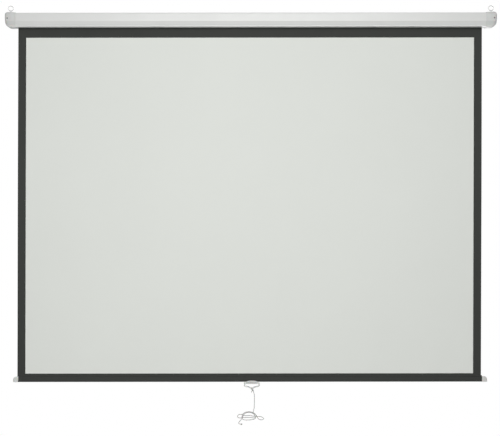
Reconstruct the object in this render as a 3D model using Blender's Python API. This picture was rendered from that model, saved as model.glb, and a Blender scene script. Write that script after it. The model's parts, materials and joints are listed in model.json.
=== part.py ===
# Manual pull-down projector screen with a 100 inch, 4:3 image.
#
# Metres, +Z up. X runs along the casing and -Y faces the viewer, so right is +X. The origin is
# midway between the two hooks that carry the hanging rings, where the rings bear on them.
# The screen is modelled drawn right down, as it hangs in use.

import math

import bmesh
import bpy
from mathutils import Vector

for item in list(bpy.data.objects):
    bpy.data.objects.remove(item, do_unlink=True)

GAP = 0.0003  # between pieces that touch

# Sheet
IMAGE_WIDTH = 2.032
IMAGE_HEIGHT = 1.524
SIDE_BORDER = 0.036
TOP_BORDER = 0.0443  # black between the casing and the image
LOWER_BORDER = 0.0141  # black between the image and the hem
FABRIC = 0.0004
COATING = 0.0003
SHEET_SHIFT = -0.005  # the spring end is the longer one, so the sheet sits left of the middle

# Casing section
CASE_DEPTH = 0.070
CASE_HEIGHT = 0.062
CASE_WALL = 0.0012
TOP_BEND = 0.005
FOLD_BEND = 0.0022
FACET_HEIGHT = 0.019
FACET_IN = 0.011
LIP_HEIGHT = 0.0045
FACE_HEIGHT = CASE_HEIGHT - FACET_HEIGHT - LIP_HEIGHT
REAR_CHAMFER_HEIGHT = 0.006
REAR_CHAMFER_IN = 0.004
SLOT_WIDTH = 0.014
SLOT_RETURN = 0.006

# End caps
END_ROOM = 0.0563  # from the sheet's width to the overall length, at each end
OVERALL_LENGTH = IMAGE_WIDTH + 2 * (SIDE_BORDER + END_ROOM)
CAP_LENGTH = 0.049
CAP_RIM = 0.0018  # how far the rim stands proud of the casing
CAP_PROUD = 0.0040
CAP_PROUD_BELOW = 0.0024
SWELL_LENGTH = 0.024
DOME_SIDE = 0.010
DOME_TOP = 0.012
DOME_BOTTOM = 0.024
DOME_STEPS = 5
SOCKET_DEPTH = 0.016
CAP_CAVITY = 0.0295
CAP_POCKET = 0.0445
POCKET_TOP = 0.012
POCKET_BOTTOM = FACE_HEIGHT - 0.002
CAVITY_INSET = 0.0007

# Hanger plates and rings
PLATE_THICK = 0.0025
PLATE_INSET = CAVITY_INSET + GAP
FLANGE_THICK = 0.0015
FLANGE_HEIGHT = 0.020
OUTER_FLANGE = 0.018
INNER_FLANGE = 0.020
FLANGE_DROP = 0.0147
RING_INSET = 0.022  # from the cap's outer end
RING_WIRE = 0.003
RING_RADIUS = 0.0115  # to the middle of the wire
RING_LIFT = 0.0081  # from the cap's top up to the middle of the wire
TAB_HALF = 0.0045
TAB_HOLE_PLAY = 0.00045

# Cap screws
SCREW_HEAD = 0.0032
SCREW_SHANK = 0.0015
HEAD_THICK = 0.0015
FRONT_SCREW_INSET = 0.012  # from the cap's outer end
REAR_SCREW_INSET = 0.0105  # from the cap's rim

# Roller
ROLLER_DROP = 0.031  # from the casing's top down to the axis
TUBE_RADIUS = 0.016
TUBE_WALL = 0.0012
TUBE_MARGIN_LEFT = 0.016  # tube beyond the sheet's edge
TUBE_MARGIN_RIGHT = 0.014
PLUG_FLANGE = 0.003
PLUG_DEPTH = 0.025
PIN_RADIUS = 0.004
BUSH_RADIUS = 0.006
BUSH_FLANGE = 0.009
BUSH_FLANGE_THICK = 0.002
BOSS_RADIUS = 0.007
WRAP_TURNS = 2
WRAP_PITCH = 0.00075

# Spring and ratchet
SHAFT_LENGTH = 0.443
HUB_RADIUS = 0.0074
HUB_LENGTH = 0.020
SHAFT_COLLAR = 0.015
SPRING_RADIUS = 0.0095
SPRING_WIRE = 0.002
SPRING_CURLS = 36
TANG_WIDTH = 0.008
TANG_THICK = 0.0032
RATCHET_RADIUS = 0.0065
RATCHET_WIDTH = 0.0045
RATCHET_NOTCHES = 4
SHOULDER_WIDTH = 0.0035
PAWL_ORBIT = 0.0115
PAWL_WIDTH = 0.0039
PAWL_EYE = 0.0027
PAWL_PIN = 0.0012
PAWL_PIN_HEAD = 0.0022

# Bar, hem and plugs
BAR_HEIGHT = 0.0224
BAR_THICK = 0.006
BAR_ROUND = 0.0025
HEM_FABRIC = 0.0005
PLUG_LENGTH = 0.0233
PLUG_CORNER = 0.014
PLUG_PROUD = 0.0005
BAR_IN_PLUG = 0.0092  # the bar stops short of the plug's rounded corner

# Clip and handle
HANDLE_X = 0.003
CLIP_HALF = 0.026
CLIP_ARCH = 0.006
CLIP_WALL = 0.0022
CLIP_WEB = 0.0024
ROD_RADIUS = 0.0022
ROD_DROP = 0.0055  # from the hem's lower edge down to the rod's axis
TUNNEL_WALL = 0.0016
MOUTH_WIDTH = 0.0034
CLIP_SCREW_X = 0.012
CLIP_SCREW_UP = 0.0029
CLIP_SCREW_HEAD = 0.0021
CLIP_SCREW_SHANK = 0.0010
CLIP_SCREW_DEPTH = 0.004
HANDLE_HALF = 0.036
HANDLE_ARM = 0.0065
HANDLE_THICK = 0.006
HANDLE_TOP = 0.0035
HANDLE_SHOULDER = 0.0175
HANDLE_DIP = 0.0285  # from the rod's axis down to the point of the V
HANDLE_BAR = 0.006
TIE_FLAT = 0.003

# Cord
CORD = 0.003
TIE_INNER = 0.0039
KNOT_SHIFT = 0.004
KNOT_SIZE = (0.0056, 0.0042, 0.0036)
END_KNOT_SIZE = (0.0040, 0.0036, 0.0040)
DROP_POINTS = 15
HANK_POINTS = 112

# Places that follow from the sizes above
RING_HOLE_Z = RING_WIRE / 2 - 2 * RING_RADIUS
CASE_TOP = RING_HOLE_Z - RING_LIFT - CAP_PROUD
CASE_BOTTOM = CASE_TOP - CASE_HEIGHT
CAP_END = OVERALL_LENGTH / 2
CAP_RIM_X = CAP_END - CAP_LENGTH
RING_X = CAP_END - RING_INSET
CASE_END = CAP_RIM_X + SOCKET_DEPTH - 0.0005
AXIS_Z = CASE_TOP - ROLLER_DROP
SHEET_HALF = IMAGE_WIDTH / 2 + SIDE_BORDER
SHEET_LEFT = SHEET_SHIFT - SHEET_HALF
SHEET_RIGHT = SHEET_SHIFT + SHEET_HALF
WRAP_INNER = TUBE_RADIUS + GAP
SHEET_FRONT = WRAP_INNER + WRAP_TURNS * WRAP_PITCH
SHEET_Y = SHEET_FRONT + FABRIC / 2
IMAGE_TOP = CASE_BOTTOM - TOP_BORDER
IMAGE_BOTTOM = IMAGE_TOP - IMAGE_HEIGHT
HEM_TOP = IMAGE_BOTTOM - LOWER_BORDER
HEM_SKIN = GAP + HEM_FABRIC
HEM_BOTTOM = HEM_TOP - BAR_HEIGHT - 2 * HEM_SKIN
HEM_HALF = BAR_THICK / 2 + HEM_SKIN
BAR_Z = (HEM_TOP + HEM_BOTTOM) / 2
PLATE_INNER = RING_X - PLATE_THICK / 2
PLATE_OUTER = RING_X + PLATE_THICK / 2
TUBE_LEFT = SHEET_LEFT - TUBE_MARGIN_LEFT
TUBE_RIGHT = SHEET_RIGHT + TUBE_MARGIN_RIGHT
TUBE_BORE = TUBE_RADIUS - TUBE_WALL
ROD_Z = HEM_BOTTOM - ROD_DROP
TIE_Z = ROD_Z - HANDLE_DIP + HANDLE_BAR / 2
SLOT_FRONT = SHEET_Y - SLOT_WIDTH / 2
SLOT_REAR = SHEET_Y + SLOT_WIDTH / 2

# The cord's route, in millimetres across, behind the sheet's plane and up from the rod's axis.
# It falls from the knot under the handle, then doubles to and fro in a loose bunch.
DROP_ROUTE = (
    (7.4, 0.0, -36.6),
    (7.6, 0.0, -40.0),
    (8.8, 0.0, -44.6),
    (10.2, 0.0, -49.6),
    (11.2, 0.2, -57.0),
    (11.4, 0.3, -68.0),
    (11.4, 0.2, -84.0),
    (11.2, 0.0, -100.0),
    (10.6, 0.0, -112.0),
    (8.8, 0.0, -122.0),
    (6.6, 0.0, -129.0),
    (5.2, 0.0, -133.5),
)
HANK_ROUTE = (
    (4.9, 0.0, -136.6),
    (13.1, 0.0, -140.8),
    (19.7, 0.3, -146.9),
    (23.7, 0.3, -154.5),
    (29.1, 0.2, -162.6),
    (38.3, 0.0, -166.6),
    (48.2, -0.6, -166.3),
    (53.6, -1.4, -161.7),
    (48.5, -2.4, -155.7),
    (37.6, -3.4, -152.0),
    (25.8, -4.0, -151.7),
    (14.9, -4.0, -151.4),
    (2.8, -4.0, -149.3),
    (-7.8, -4.0, -146.9),
    (-18.4, -4.0, -147.2),
    (-29.0, -4.0, -148.1),
    (-38.1, -4.0, -145.4),
    (-46.4, -4.0, -142.0),
    (-55.5, -4.0, -141.7),
    (-62.9, -4.0, -145.7),
    (-65.3, -4.0, -151.4),
    (-61.7, -4.0, -156.6),
    (-52.6, -4.0, -157.8),
    (-42.6, -4.0, -156.6),
    (-30.5, -4.0, -156.3),
    (-18.4, -4.6, -155.7),
    (-4.8, -5.6, -156.0),
    (7.3, -7.0, -156.9),
    (15.8, -8.0, -155.1),
    (18.8, -8.2, -148.1),
    (15.2, -8.2, -140.2),
    (7.3, -8.2, -134.2),
    (-2.4, -8.2, -130.5),
    (-13.9, -8.2, -129.3),
    (-25.4, -8.2, -130.5),
    (-36.0, -8.2, -134.8),
    (-42.3, -8.2, -141.7),
    (-44.4, -8.2, -150.2),
    (-44.1, -8.0, -158.4),
    (-40.2, -7.0, -164.4),
    (-30.8, -5.0, -167.2),
    (-18.4, -2.4, -167.5),
    (-5.4, 0.2, -167.0),
    (6.1, 2.4, -165.3),
    (14.6, 3.8, -161.7),
    (16.4, 4.4, -155.4),
    (12.8, 4.6, -147.2),
    (6.4, 4.6, -140.2),
    (-2.7, 4.6, -135.7),
    (-13.9, 4.4, -134.2),
    (-24.5, 4.2, -135.7),
    (-33.2, 4.0, -140.2),
    (-39.0, 4.0, -147.5),
    (-42.3, 4.0, -156.0),
    (-47.1, 3.6, -165.0),
    (-53.5, 2.8, -172.0),
    (-58.6, 1.6, -178.4),
    (-59.6, 0.8, -182.9),
    (-56.8, 0.2, -185.6),
    (-52.3, 0.0, -186.5),
)


def finish(name, bm, parent, colour, roughness, metallic=0.0, smooth_under=35):
    """Makes the object, with its mesh measured from its parent's place."""
    bmesh.ops.recalc_face_normals(bm, faces=bm.faces)
    bmesh.ops.translate(bm, verts=bm.verts, vec=-parent.location)
    mesh = bpy.data.meshes.new(name)
    bm.to_mesh(mesh)
    bm.free()
    mesh.shade_smooth()
    mesh.set_sharp_from_angle(angle=math.radians(smooth_under))
    obj = bpy.data.objects.new(name, mesh)
    return dress(obj, parent, colour, roughness, metallic)


def dress(obj, parent, colour, roughness, metallic=0.0):
    bpy.context.scene.collection.objects.link(obj)
    obj.parent = parent
    material = bpy.data.materials.new(obj.name)
    material.use_nodes = True
    shader = material.node_tree.nodes["Principled BSDF"]
    shader.inputs["Base Color"].default_value = (*colour, 1)
    shader.inputs["Roughness"].default_value = roughness
    shader.inputs["Metallic"].default_value = metallic
    obj.data.materials.append(material)
    return obj


def pivot(name, x, y, z):
    """An empty on a joint's axis, which carries the pieces that move there."""
    empty = bpy.data.objects.new(name, None)
    empty.location = (x, y, z)
    bpy.context.scene.collection.objects.link(empty)
    return empty


def boolean(obj, tool, operation):
    modifier = obj.modifiers.new(tool.name, "BOOLEAN")
    modifier.operation = operation
    modifier.solver = "EXACT"
    modifier.object = tool


def tool_of(name, bm):
    """A hidden shape that is cut from other pieces or joined to them."""
    tool = finish(name, bm, WORLD, (1, 0, 0), 0.5)
    tool.hide_render = True
    tool.display_type = "WIRE"
    return tool


def fillet(corners, steps):
    """A path through (y, z, radius) corners, each with a radius turned into an arc."""
    path = []
    last = len(corners) - 1
    for i, (y, z, radius) in enumerate(corners):
        here = Vector((y, z))
        if not radius:
            path.append(here)
            continue
        before = Vector(corners[i - 1][:2]) - here
        after = Vector(corners[0 if i == last else i + 1][:2]) - here
        before.normalize()
        after.normalize()
        half = before.angle(after) / 2
        centre = here + (before + after).normalized() * radius / math.sin(half)
        start = here + before * radius / math.tan(half) - centre
        end = here + after * radius / math.tan(half) - centre
        sweep = start.angle_signed(end)
        for step in range(steps + 1):
            turn = -sweep * step / steps
            cos, sin = math.cos(turn), math.sin(turn)
            path.append(centre + Vector((start.x * cos - start.y * sin, start.x * sin + start.y * cos)))
    return path


def grow(path, distance, closed=True):
    """The path moved to its left by a distance, with mitred corners."""
    moved = []
    count = len(path)
    for i, point in enumerate(path):
        sides = []
        for a, b in ((i - 1, i), (i, i + 1)):
            if closed or 0 <= a and b < count:
                along = (path[b % count] - path[a % count]).normalized()
                sides.append(Vector((-along.y, along.x)))
        normal = sum(sides, Vector((0, 0))).normalized()
        moved.append(point + normal * distance / normal.dot(sides[0]))
    return moved


def prism(outline, low, high, axis="X"):
    """An outline of (y, z) pairs drawn out along X, or of (x, z) pairs along Y."""
    bm = bmesh.new()
    if axis == "X":
        verts = [bm.verts.new((low, a, b)) for a, b in outline]
        shift = (high - low, 0, 0)
    else:
        verts = [bm.verts.new((a, low, b)) for a, b in outline]
        shift = (0, high - low, 0)
    face = bm.faces.new(verts)
    made = bmesh.ops.extrude_face_region(bm, geom=[face])
    far = [item for item in made["geom"] if isinstance(item, bmesh.types.BMVert)]
    bmesh.ops.translate(bm, verts=far, vec=shift)
    return bm


def block(low, high):
    (x0, y0, z0), (x1, y1, z1) = low, high
    return prism([(y0, z0), (y1, z0), (y1, z1), (y0, z1)], x0, x1)


def loft(rings, closed_ends=True):
    """Skins rings of equal length, each a list of points."""
    bm = bmesh.new()
    made = [[bm.verts.new(point) for point in ring] for ring in rings]
    count = len(rings[0])
    for ring, above in zip(made, made[1:]):
        for i in range(count):
            bm.faces.new((ring[i], ring[(i + 1) % count], above[(i + 1) % count], above[i]))
    if closed_ends:
        bm.faces.new(made[0])
        bm.faces.new(made[-1])
    return bm


def sleeve(outer, inner, low, high):
    """A tube along X between two outlines that have as many points as each other."""
    rings = [[(x, y, z) for y, z in outline] for outline, x in
             ((outer, low), (outer, high), (inner, high), (inner, low), (outer, low))]
    bm = loft(rings, closed_ends=False)
    bmesh.ops.remove_doubles(bm, verts=bm.verts, dist=1e-6)
    return bm


def turned(profile, segments, y=0.0, z=0.0, hollow=False):
    """(x, radius) pairs turned about a line along X. A solid piece starts and ends on the line."""
    rings = []
    for x, radius in profile:
        ring = []
        for i in range(segments):
            angle = 2 * math.pi * (i + 0.5) / segments
            ring.append((x, y + radius * math.cos(angle), z + radius * math.sin(angle)))
        rings.append(ring)
    if hollow:
        bm = loft([*rings, rings[0]], closed_ends=False)
        bmesh.ops.remove_doubles(bm, verts=bm.verts, dist=1e-6)
        return bm
    return loft(rings)


def tube_along(name, points, parent, diameter, sides, colour, roughness):
    """A round tube on a line of points. sides is the curve's bevel resolution."""
    curve = bpy.data.curves.new(name, "CURVE")
    curve.dimensions = "3D"
    curve.bevel_depth = diameter / 2
    curve.bevel_resolution = sides
    curve.use_fill_caps = True
    spline = curve.splines.new("POLY")
    spline.points.add(len(points) - 1)
    for spot, point in zip(spline.points, points):
        spot.co = (*(Vector(point) - parent.location), 1)
    return dress(bpy.data.objects.new(name, curve), parent, colour, roughness)


def smooth_line(route, count):
    """count points, evenly spaced along a smooth curve through the route's own points."""
    dense = []
    ends = [2 * route[0] - route[1], *route, 2 * route[-1] - route[-2]]
    for a, b, c, d in zip(ends, ends[1:], ends[2:], ends[3:]):
        for step in range(16):
            t = step / 16
            dense.append(0.5 * (2 * b + (c - a) * t + (2 * a - 5 * b + 4 * c - d) * t**2
                                + (3 * b - a - 3 * c + d) * t**3))
    dense.append(route[-1])
    along = [0.0]
    for a, b in zip(dense, dense[1:]):
        along.append(along[-1] + (b - a).length)
    points = []
    spot = 0
    for i in range(count):
        want = along[-1] * i / (count - 1)
        while spot < len(along) - 2 and along[spot + 1] < want:
            spot += 1
        share = (want - along[spot]) / (along[spot + 1] - along[spot])
        points.append(dense[spot].lerp(dense[spot + 1], share))
    return points


def least_gap(points, diameter):
    """The least gap that a tube leaves to itself, past four diameters along its line."""
    step = (points[1] - points[0]).length
    apart = math.ceil(4 * diameter / step)
    fine = []
    for a, b in zip(points, points[1:]):
        fine += [a.lerp(b, t / 4) for t in range(4)]
    best = math.inf
    for i, point in enumerate(fine):
        for other in fine[i + 4 * apart:]:
            best = min(best, (other - point).length)
    return best - diameter


def side_name(side):
    return "left" if side < 0 else "right"


WORLD = pivot("screen", 0, 0, 0)
ROLLER = pivot("roller_axis", 0, 0, AXIS_Z)
BAR = pivot("bar_slide", SHEET_SHIFT, SHEET_Y, BAR_Z)
HANDLE = pivot("handle_axis", HANDLE_X, SHEET_Y, ROD_Z)
CORD_PIVOT = pivot("cord_axis", HANDLE_X, SHEET_Y, TIE_Z)
WHITE_PAINT = ((0.80, 0.81, 0.80), 0.42)
WHITE_PLASTIC = ((0.78, 0.79, 0.77), 0.40)
STEEL = ((0.62, 0.62, 0.62), 0.35, 1.0)

# Casing: one folded steel sheet, open along the slot that the fabric leaves by

FACE = CASE_DEPTH / 2
LIP = FACE - FACET_IN
SECTION = [
    (-LIP, -CASE_HEIGHT, FOLD_BEND),
    (-LIP, LIP_HEIGHT - CASE_HEIGHT, FOLD_BEND),
    (-FACE, -FACE_HEIGHT, FOLD_BEND),
    (-FACE, 0.0, TOP_BEND),
    (FACE, 0.0, TOP_BEND),
    (FACE, REAR_CHAMFER_HEIGHT - CASE_HEIGHT, FOLD_BEND),
    (FACE - REAR_CHAMFER_IN, -CASE_HEIGHT, FOLD_BEND),
]
SLOT_START = [(SLOT_FRONT, SLOT_RETURN - CASE_HEIGHT, 0.0), (SLOT_FRONT, -CASE_HEIGHT, FOLD_BEND)]
SLOT_END = [(SLOT_REAR, -CASE_HEIGHT, FOLD_BEND), (SLOT_REAR, SLOT_RETURN - CASE_HEIGHT, 0.0)]


def raised(path, z=CASE_TOP):
    return [(point[0], point[1] + z) for point in path]


def casing():
    outer = fillet([*SLOT_START, *SECTION, *SLOT_END], 4)
    inner = grow(outer, -CASE_WALL, closed=False)
    bm = prism(raised([*outer, *reversed(inner)]), -CASE_END, CASE_END)
    return finish("casing_shell", bm, WORLD, *WHITE_PAINT)


# End caps: moulded, swelling from a thin rim and rounded over at the outer end


def cap_outline(proud, below):
    """The casing's outline grown by proud, and by less at the bottom."""
    return [Vector((y, z - (proud - below) * z / CASE_HEIGHT)) for y, z in grow(fillet(SECTION, 4), proud)]


def cap_rings(side):
    rings = []
    for step in range(5):
        ease = (1 - math.cos(math.pi * step / 4)) / 2
        proud = CAP_RIM + (CAP_PROUD - CAP_RIM) * ease
        below = CAP_RIM + (CAP_PROUD_BELOW - CAP_RIM) * ease
        x = side * (CAP_RIM_X + SWELL_LENGTH * step / 4)
        rings.append([(x, y, z) for y, z in raised(cap_outline(proud, below))])
    full = cap_outline(CAP_PROUD, CAP_PROUD_BELOW)
    height = CASE_HEIGHT + CAP_PROUD + CAP_PROUD_BELOW
    middle = CAP_PROUD - height * DOME_TOP / (DOME_TOP + DOME_BOTTOM)
    for step in range(DOME_STEPS + 1):
        turn = math.pi / 2 * step / DOME_STEPS
        ring = []
        for y, z in full:
            shrink = 1 - (DOME_TOP + DOME_BOTTOM) / height
            target = Vector((y * (1 - DOME_SIDE / (FACE + CAP_PROUD)), middle + (z - middle) * shrink))
            reach = (target - Vector((y, z))).length
            spot = Vector((y, z)).lerp(target, 1 - math.cos(turn))
            ring.append((side * (CAP_END - reach * (1 - math.sin(turn))), spot.x, spot.y + CASE_TOP))
        rings.append(ring)
    return rings


def end_cap(side):
    name = side_name(side)
    outline = fillet(SECTION, 4)
    cap = finish(f"end_cap_{name}", loft(cap_rings(side)), WORLD, *WHITE_PLASTIC)
    rim = CAP_RIM_X - 0.002
    cuts = {
        "socket": prism(raised(grow(outline, GAP)), side * rim, side * (CAP_RIM_X + SOCKET_DEPTH)),
        "cavity": prism(raised(grow(outline, -CAVITY_INSET)),
                        side * (rim + 0.001), side * (CAP_RIM_X + CAP_CAVITY)),
        "pocket": block((side * (CAP_RIM_X + CAP_CAVITY - 0.006), -FACE + CAVITY_INSET, CASE_TOP - POCKET_BOTTOM),
                        (side * (CAP_RIM_X + CAP_POCKET), FACE - CAVITY_INSET, CASE_TOP - POCKET_TOP)),
        "tab_slot": block((side * (PLATE_INNER - GAP), -TAB_HALF - GAP, CASE_TOP - 0.006),
                          (side * (PLATE_OUTER + GAP), TAB_HALF + GAP, CASE_TOP + CAP_PROUD + 0.002)),
    }
    for cut, bm in cuts.items():
        boolean(cap, tool_of(f"cut_{cut}_{name}", bm), "DIFFERENCE")
    return cap


# Hanger plates: pressed steel, with a flange to the cap, a flange to the casing and the ring's tab

PLATE_FRONT_Y = PLATE_INSET + GAP - FACE
PLATE_REAR_Y = FACE - CASE_WALL - GAP
FLANGE_Z = CASE_TOP - FLANGE_DROP


def hanger_plate(side):
    name = side_name(side)
    outline = grow(fillet(SECTION, 4), -PLATE_INSET)
    top = max(range(len(outline)), key=lambda i: (round(outline[i].y, 6), -outline[i].x))
    tab = [(-TAB_HALF, outline[top].y)]
    for step in range(9):
        angle = math.pi * (1 - step / 8)
        tab.append((TAB_HALF * math.cos(angle), RING_HOLE_Z - CASE_TOP + TAB_HALF * math.sin(angle)))
    tab.append((TAB_HALF, outline[top].y))
    outline[top + 1:top + 1] = [Vector(point) for point in tab]
    plate = finish(f"hanger_plate_{name}", prism(raised(outline), side * PLATE_INNER, side * PLATE_OUTER),
                   WORLD, *STEEL)
    outer = block((side * (PLATE_INNER + 0.0008), PLATE_FRONT_Y, FLANGE_Z - FLANGE_HEIGHT),
                  (side * (PLATE_OUTER + OUTER_FLANGE - PLATE_THICK), PLATE_FRONT_Y + FLANGE_THICK, FLANGE_Z))
    inner = block((side * (PLATE_OUTER - 0.0008), PLATE_REAR_Y - FLANGE_THICK, FLANGE_Z - FLANGE_HEIGHT),
                  (side * (PLATE_INNER - INNER_FLANGE), PLATE_REAR_Y, FLANGE_Z))
    boolean(plate, tool_of(f"flange_outer_{name}", outer), "UNION")
    boolean(plate, tool_of(f"flange_inner_{name}", inner), "UNION")
    reach = PLATE_THICK
    hole = turned([(side * (PLATE_INNER - reach), RING_WIRE / 2 + TAB_HOLE_PLAY),
                   (side * (PLATE_OUTER + reach), RING_WIRE / 2 + TAB_HOLE_PLAY)], 16, 0, RING_HOLE_Z)
    boolean(plate, tool_of(f"ring_hole_{name}", hole), "DIFFERENCE")
    if side < 0:
        seat = turned([(-PLATE_OUTER - reach, BUSH_RADIUS + GAP),
                       (-PLATE_INNER + reach, BUSH_RADIUS + GAP)], 24, 0, AXIS_Z)
    else:
        seat = block((PLATE_INNER - reach, -TANG_WIDTH / 2 - GAP, AXIS_Z - TANG_THICK / 2 - GAP),
                     (PLATE_OUTER + reach, TANG_WIDTH / 2 + GAP, AXIS_Z + TANG_THICK / 2 + GAP))
    boolean(plate, tool_of(f"seat_{name}", seat), "DIFFERENCE")
    return plate


# Cap screws: one from the front into the outer flange, one from behind through cap and casing

SCREW_Z = FLANGE_Z - FLANGE_HEIGHT / 2


def along_y(profile, x, z, segments):
    """(y, radius) pairs turned about a line along Y."""
    bm = turned(profile, segments)
    for vert in bm.verts:
        a, b, c = vert.co
        vert.co = (x + b, a, z + c)
    return bm


def cap_screw(side, face, cap, plate, shell):
    """face is -1 for the front screw and 1 for the rear one."""
    place = "front" if face < 0 else "rear"
    name = f"{place}_{side_name(side)}"
    if face < 0:
        x = side * (CAP_END - FRONT_SCREW_INSET)
        seat = FACE + CAP_PROUD - HEAD_THICK - 2 * GAP
        inner = FACE - PLATE_INSET - GAP - FLANGE_THICK
    else:
        x = side * (CAP_RIM_X + REAR_SCREW_INSET)
        seat = FACE + CAP_RIM - HEAD_THICK + 3 * GAP
        inner = FACE - CASE_WALL - GAP - FLANGE_THICK
    tip = inner - 0.003
    head = seat + GAP
    profile = [
        (face * tip, SCREW_SHANK * 0.5),
        (face * (tip + 0.001), SCREW_SHANK),
        (face * head, SCREW_SHANK),
        (face * head, SCREW_HEAD),
        (face * (head + HEAD_THICK * 0.55), SCREW_HEAD),
        (face * (head + HEAD_THICK * 0.9), SCREW_HEAD * 0.75),
        (face * (head + HEAD_THICK), SCREW_HEAD * 0.4),
    ]
    screw = finish(f"cap_screw_{name}", along_y(profile, x, SCREW_Z, 16), WORLD, *STEEL)
    well = along_y([(face * (FACE + 0.02), SCREW_HEAD + 2 * GAP), (face * seat, SCREW_HEAD + 2 * GAP)],
                   x, SCREW_Z, 20)
    hole = along_y([(face * (FACE + 0.02), SCREW_SHANK + GAP), (face * (tip - 0.002), SCREW_SHANK + GAP)],
                   x, SCREW_Z, 16)
    drill = tool_of(f"drill_{name}", hole)
    boolean(cap, tool_of(f"well_{name}", well), "DIFFERENCE")
    boolean(cap, drill, "DIFFERENCE")
    boolean(plate, drill, "DIFFERENCE")
    if face > 0:
        boolean(shell, drill, "DIFFERENCE")
    return screw


def hanging_ring(side):
    """A closed wire ring through the tab's hole, standing up as it hangs on its hook."""
    name = side_name(side)
    axis = pivot(f"ring_axis_{name}", side * RING_X, 0, RING_HOLE_Z)
    rings = []
    for i in range(32):
        turn = 2 * math.pi * i / 32
        ring = []
        for k in range(8):
            roll = 2 * math.pi * (k + 0.5) / 8
            radius = RING_RADIUS + RING_WIRE / 2 * math.cos(roll)
            ring.append((side * RING_X + radius * math.cos(turn), RING_WIRE / 2 * math.sin(roll),
                         RING_HOLE_Z + RING_RADIUS + radius * math.sin(turn)))
        rings.append(ring)
    bm = loft([*rings, rings[0]], closed_ends=False)
    bmesh.ops.remove_doubles(bm, verts=bm.verts, dist=1e-6)
    return finish(f"hanging_ring_{name}", bm, axis, *STEEL)


# Roller: a steel tube on a pin and bush at the left, and on the fixed spring shaft at the right

LEFT_FLANGE = TUBE_LEFT - GAP - PLUG_FLANGE
BUSH_FACE = -PLATE_INNER + GAP + BUSH_FLANGE_THICK
RIGHT_FLANGE = TUBE_RIGHT + GAP
RATCHET_X = PLATE_INNER - SHOULDER_WIDTH - 0.0030 - RATCHET_WIDTH
PAWL_X = RATCHET_X + (RATCHET_WIDTH - PAWL_WIDTH) / 2


def roller():
    tube = turned([(TUBE_LEFT, TUBE_RADIUS), (TUBE_RIGHT, TUBE_RADIUS),
                   (TUBE_RIGHT, TUBE_BORE), (TUBE_LEFT, TUBE_BORE)], 32, 0, AXIS_Z, hollow=True)
    finish("roller_tube", tube, ROLLER, (0.70, 0.71, 0.72), 0.35, 1.0)
    body = TUBE_BORE - GAP
    bore = PIN_RADIUS + GAP
    rim = TUBE_RADIUS - 0.0005
    idle = turned([
        (BUSH_FACE + GAP, bore), (BUSH_FACE + GAP, BOSS_RADIUS), (LEFT_FLANGE, BOSS_RADIUS),
        (LEFT_FLANGE, rim), (LEFT_FLANGE + PLUG_FLANGE, rim), (LEFT_FLANGE + PLUG_FLANGE, body),
        (TUBE_LEFT + PLUG_DEPTH, body), (TUBE_LEFT + PLUG_DEPTH, bore),
    ], 24, 0, AXIS_Z, hollow=True)
    finish("idle_plug", idle, ROLLER, (0.10, 0.10, 0.11), 0.5)
    pin = turned([
        (-PLATE_OUTER - 0.0015, PIN_RADIUS * 0.8), (-PLATE_OUTER - 0.0008, PIN_RADIUS),
        (TUBE_LEFT + PLUG_DEPTH - 0.004, PIN_RADIUS), (TUBE_LEFT + PLUG_DEPTH - 0.003, PIN_RADIUS * 0.8),
    ], 16, 0, AXIS_Z)
    finish("idle_pin", pin, ROLLER, *STEEL)
    bush = turned([
        (-PLATE_OUTER - 0.0008, bore), (-PLATE_OUTER - 0.0008, BUSH_RADIUS), (-PLATE_INNER + GAP, BUSH_RADIUS),
        (-PLATE_INNER + GAP, BUSH_FLANGE), (BUSH_FACE, BUSH_FLANGE), (BUSH_FACE, bore),
    ], 24, 0, AXIS_Z, hollow=True)
    finish("idle_bush", bush, WORLD, (0.85, 0.84, 0.80), 0.45)
    plug = turned([
        (RIGHT_FLANGE + PLUG_FLANGE, bore), (RIGHT_FLANGE + PLUG_FLANGE, rim), (RIGHT_FLANGE, rim),
        (RIGHT_FLANGE, body), (TUBE_RIGHT - PLUG_DEPTH, body), (TUBE_RIGHT - PLUG_DEPTH, HUB_RADIUS),
        (TUBE_RIGHT - PLUG_DEPTH - HUB_LENGTH, HUB_RADIUS), (TUBE_RIGHT - PLUG_DEPTH - HUB_LENGTH, bore),
    ], 24, 0, AXIS_Z, hollow=True)
    return finish("spring_plug", plug, ROLLER, (0.10, 0.10, 0.11), 0.5)


def fabric_wraps():
    """The turns that stay on the tube when the screen is down, ending where the sheet drops away."""
    steps = 32 * WRAP_TURNS
    outer, inner = [], []
    for i in range(steps + 1):
        turn = 2 * math.pi * i / 32
        radius = SHEET_FRONT - WRAP_PITCH * i / 32
        for path, r in ((inner, radius), (outer, radius + FABRIC)):
            path.append((r * math.cos(turn), AXIS_Z + r * math.sin(turn)))
    bm = prism([*outer, *reversed(inner)], SHEET_LEFT, SHEET_RIGHT)
    finish("fabric_wraps", bm, ROLLER, (0.045, 0.047, 0.045), 0.85)


# Spring end: a fixed shaft held by its flat tang, a torsion spring and the ratchet that locks the roller

SHAFT_INNER = PLATE_INNER - SHAFT_LENGTH


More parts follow.
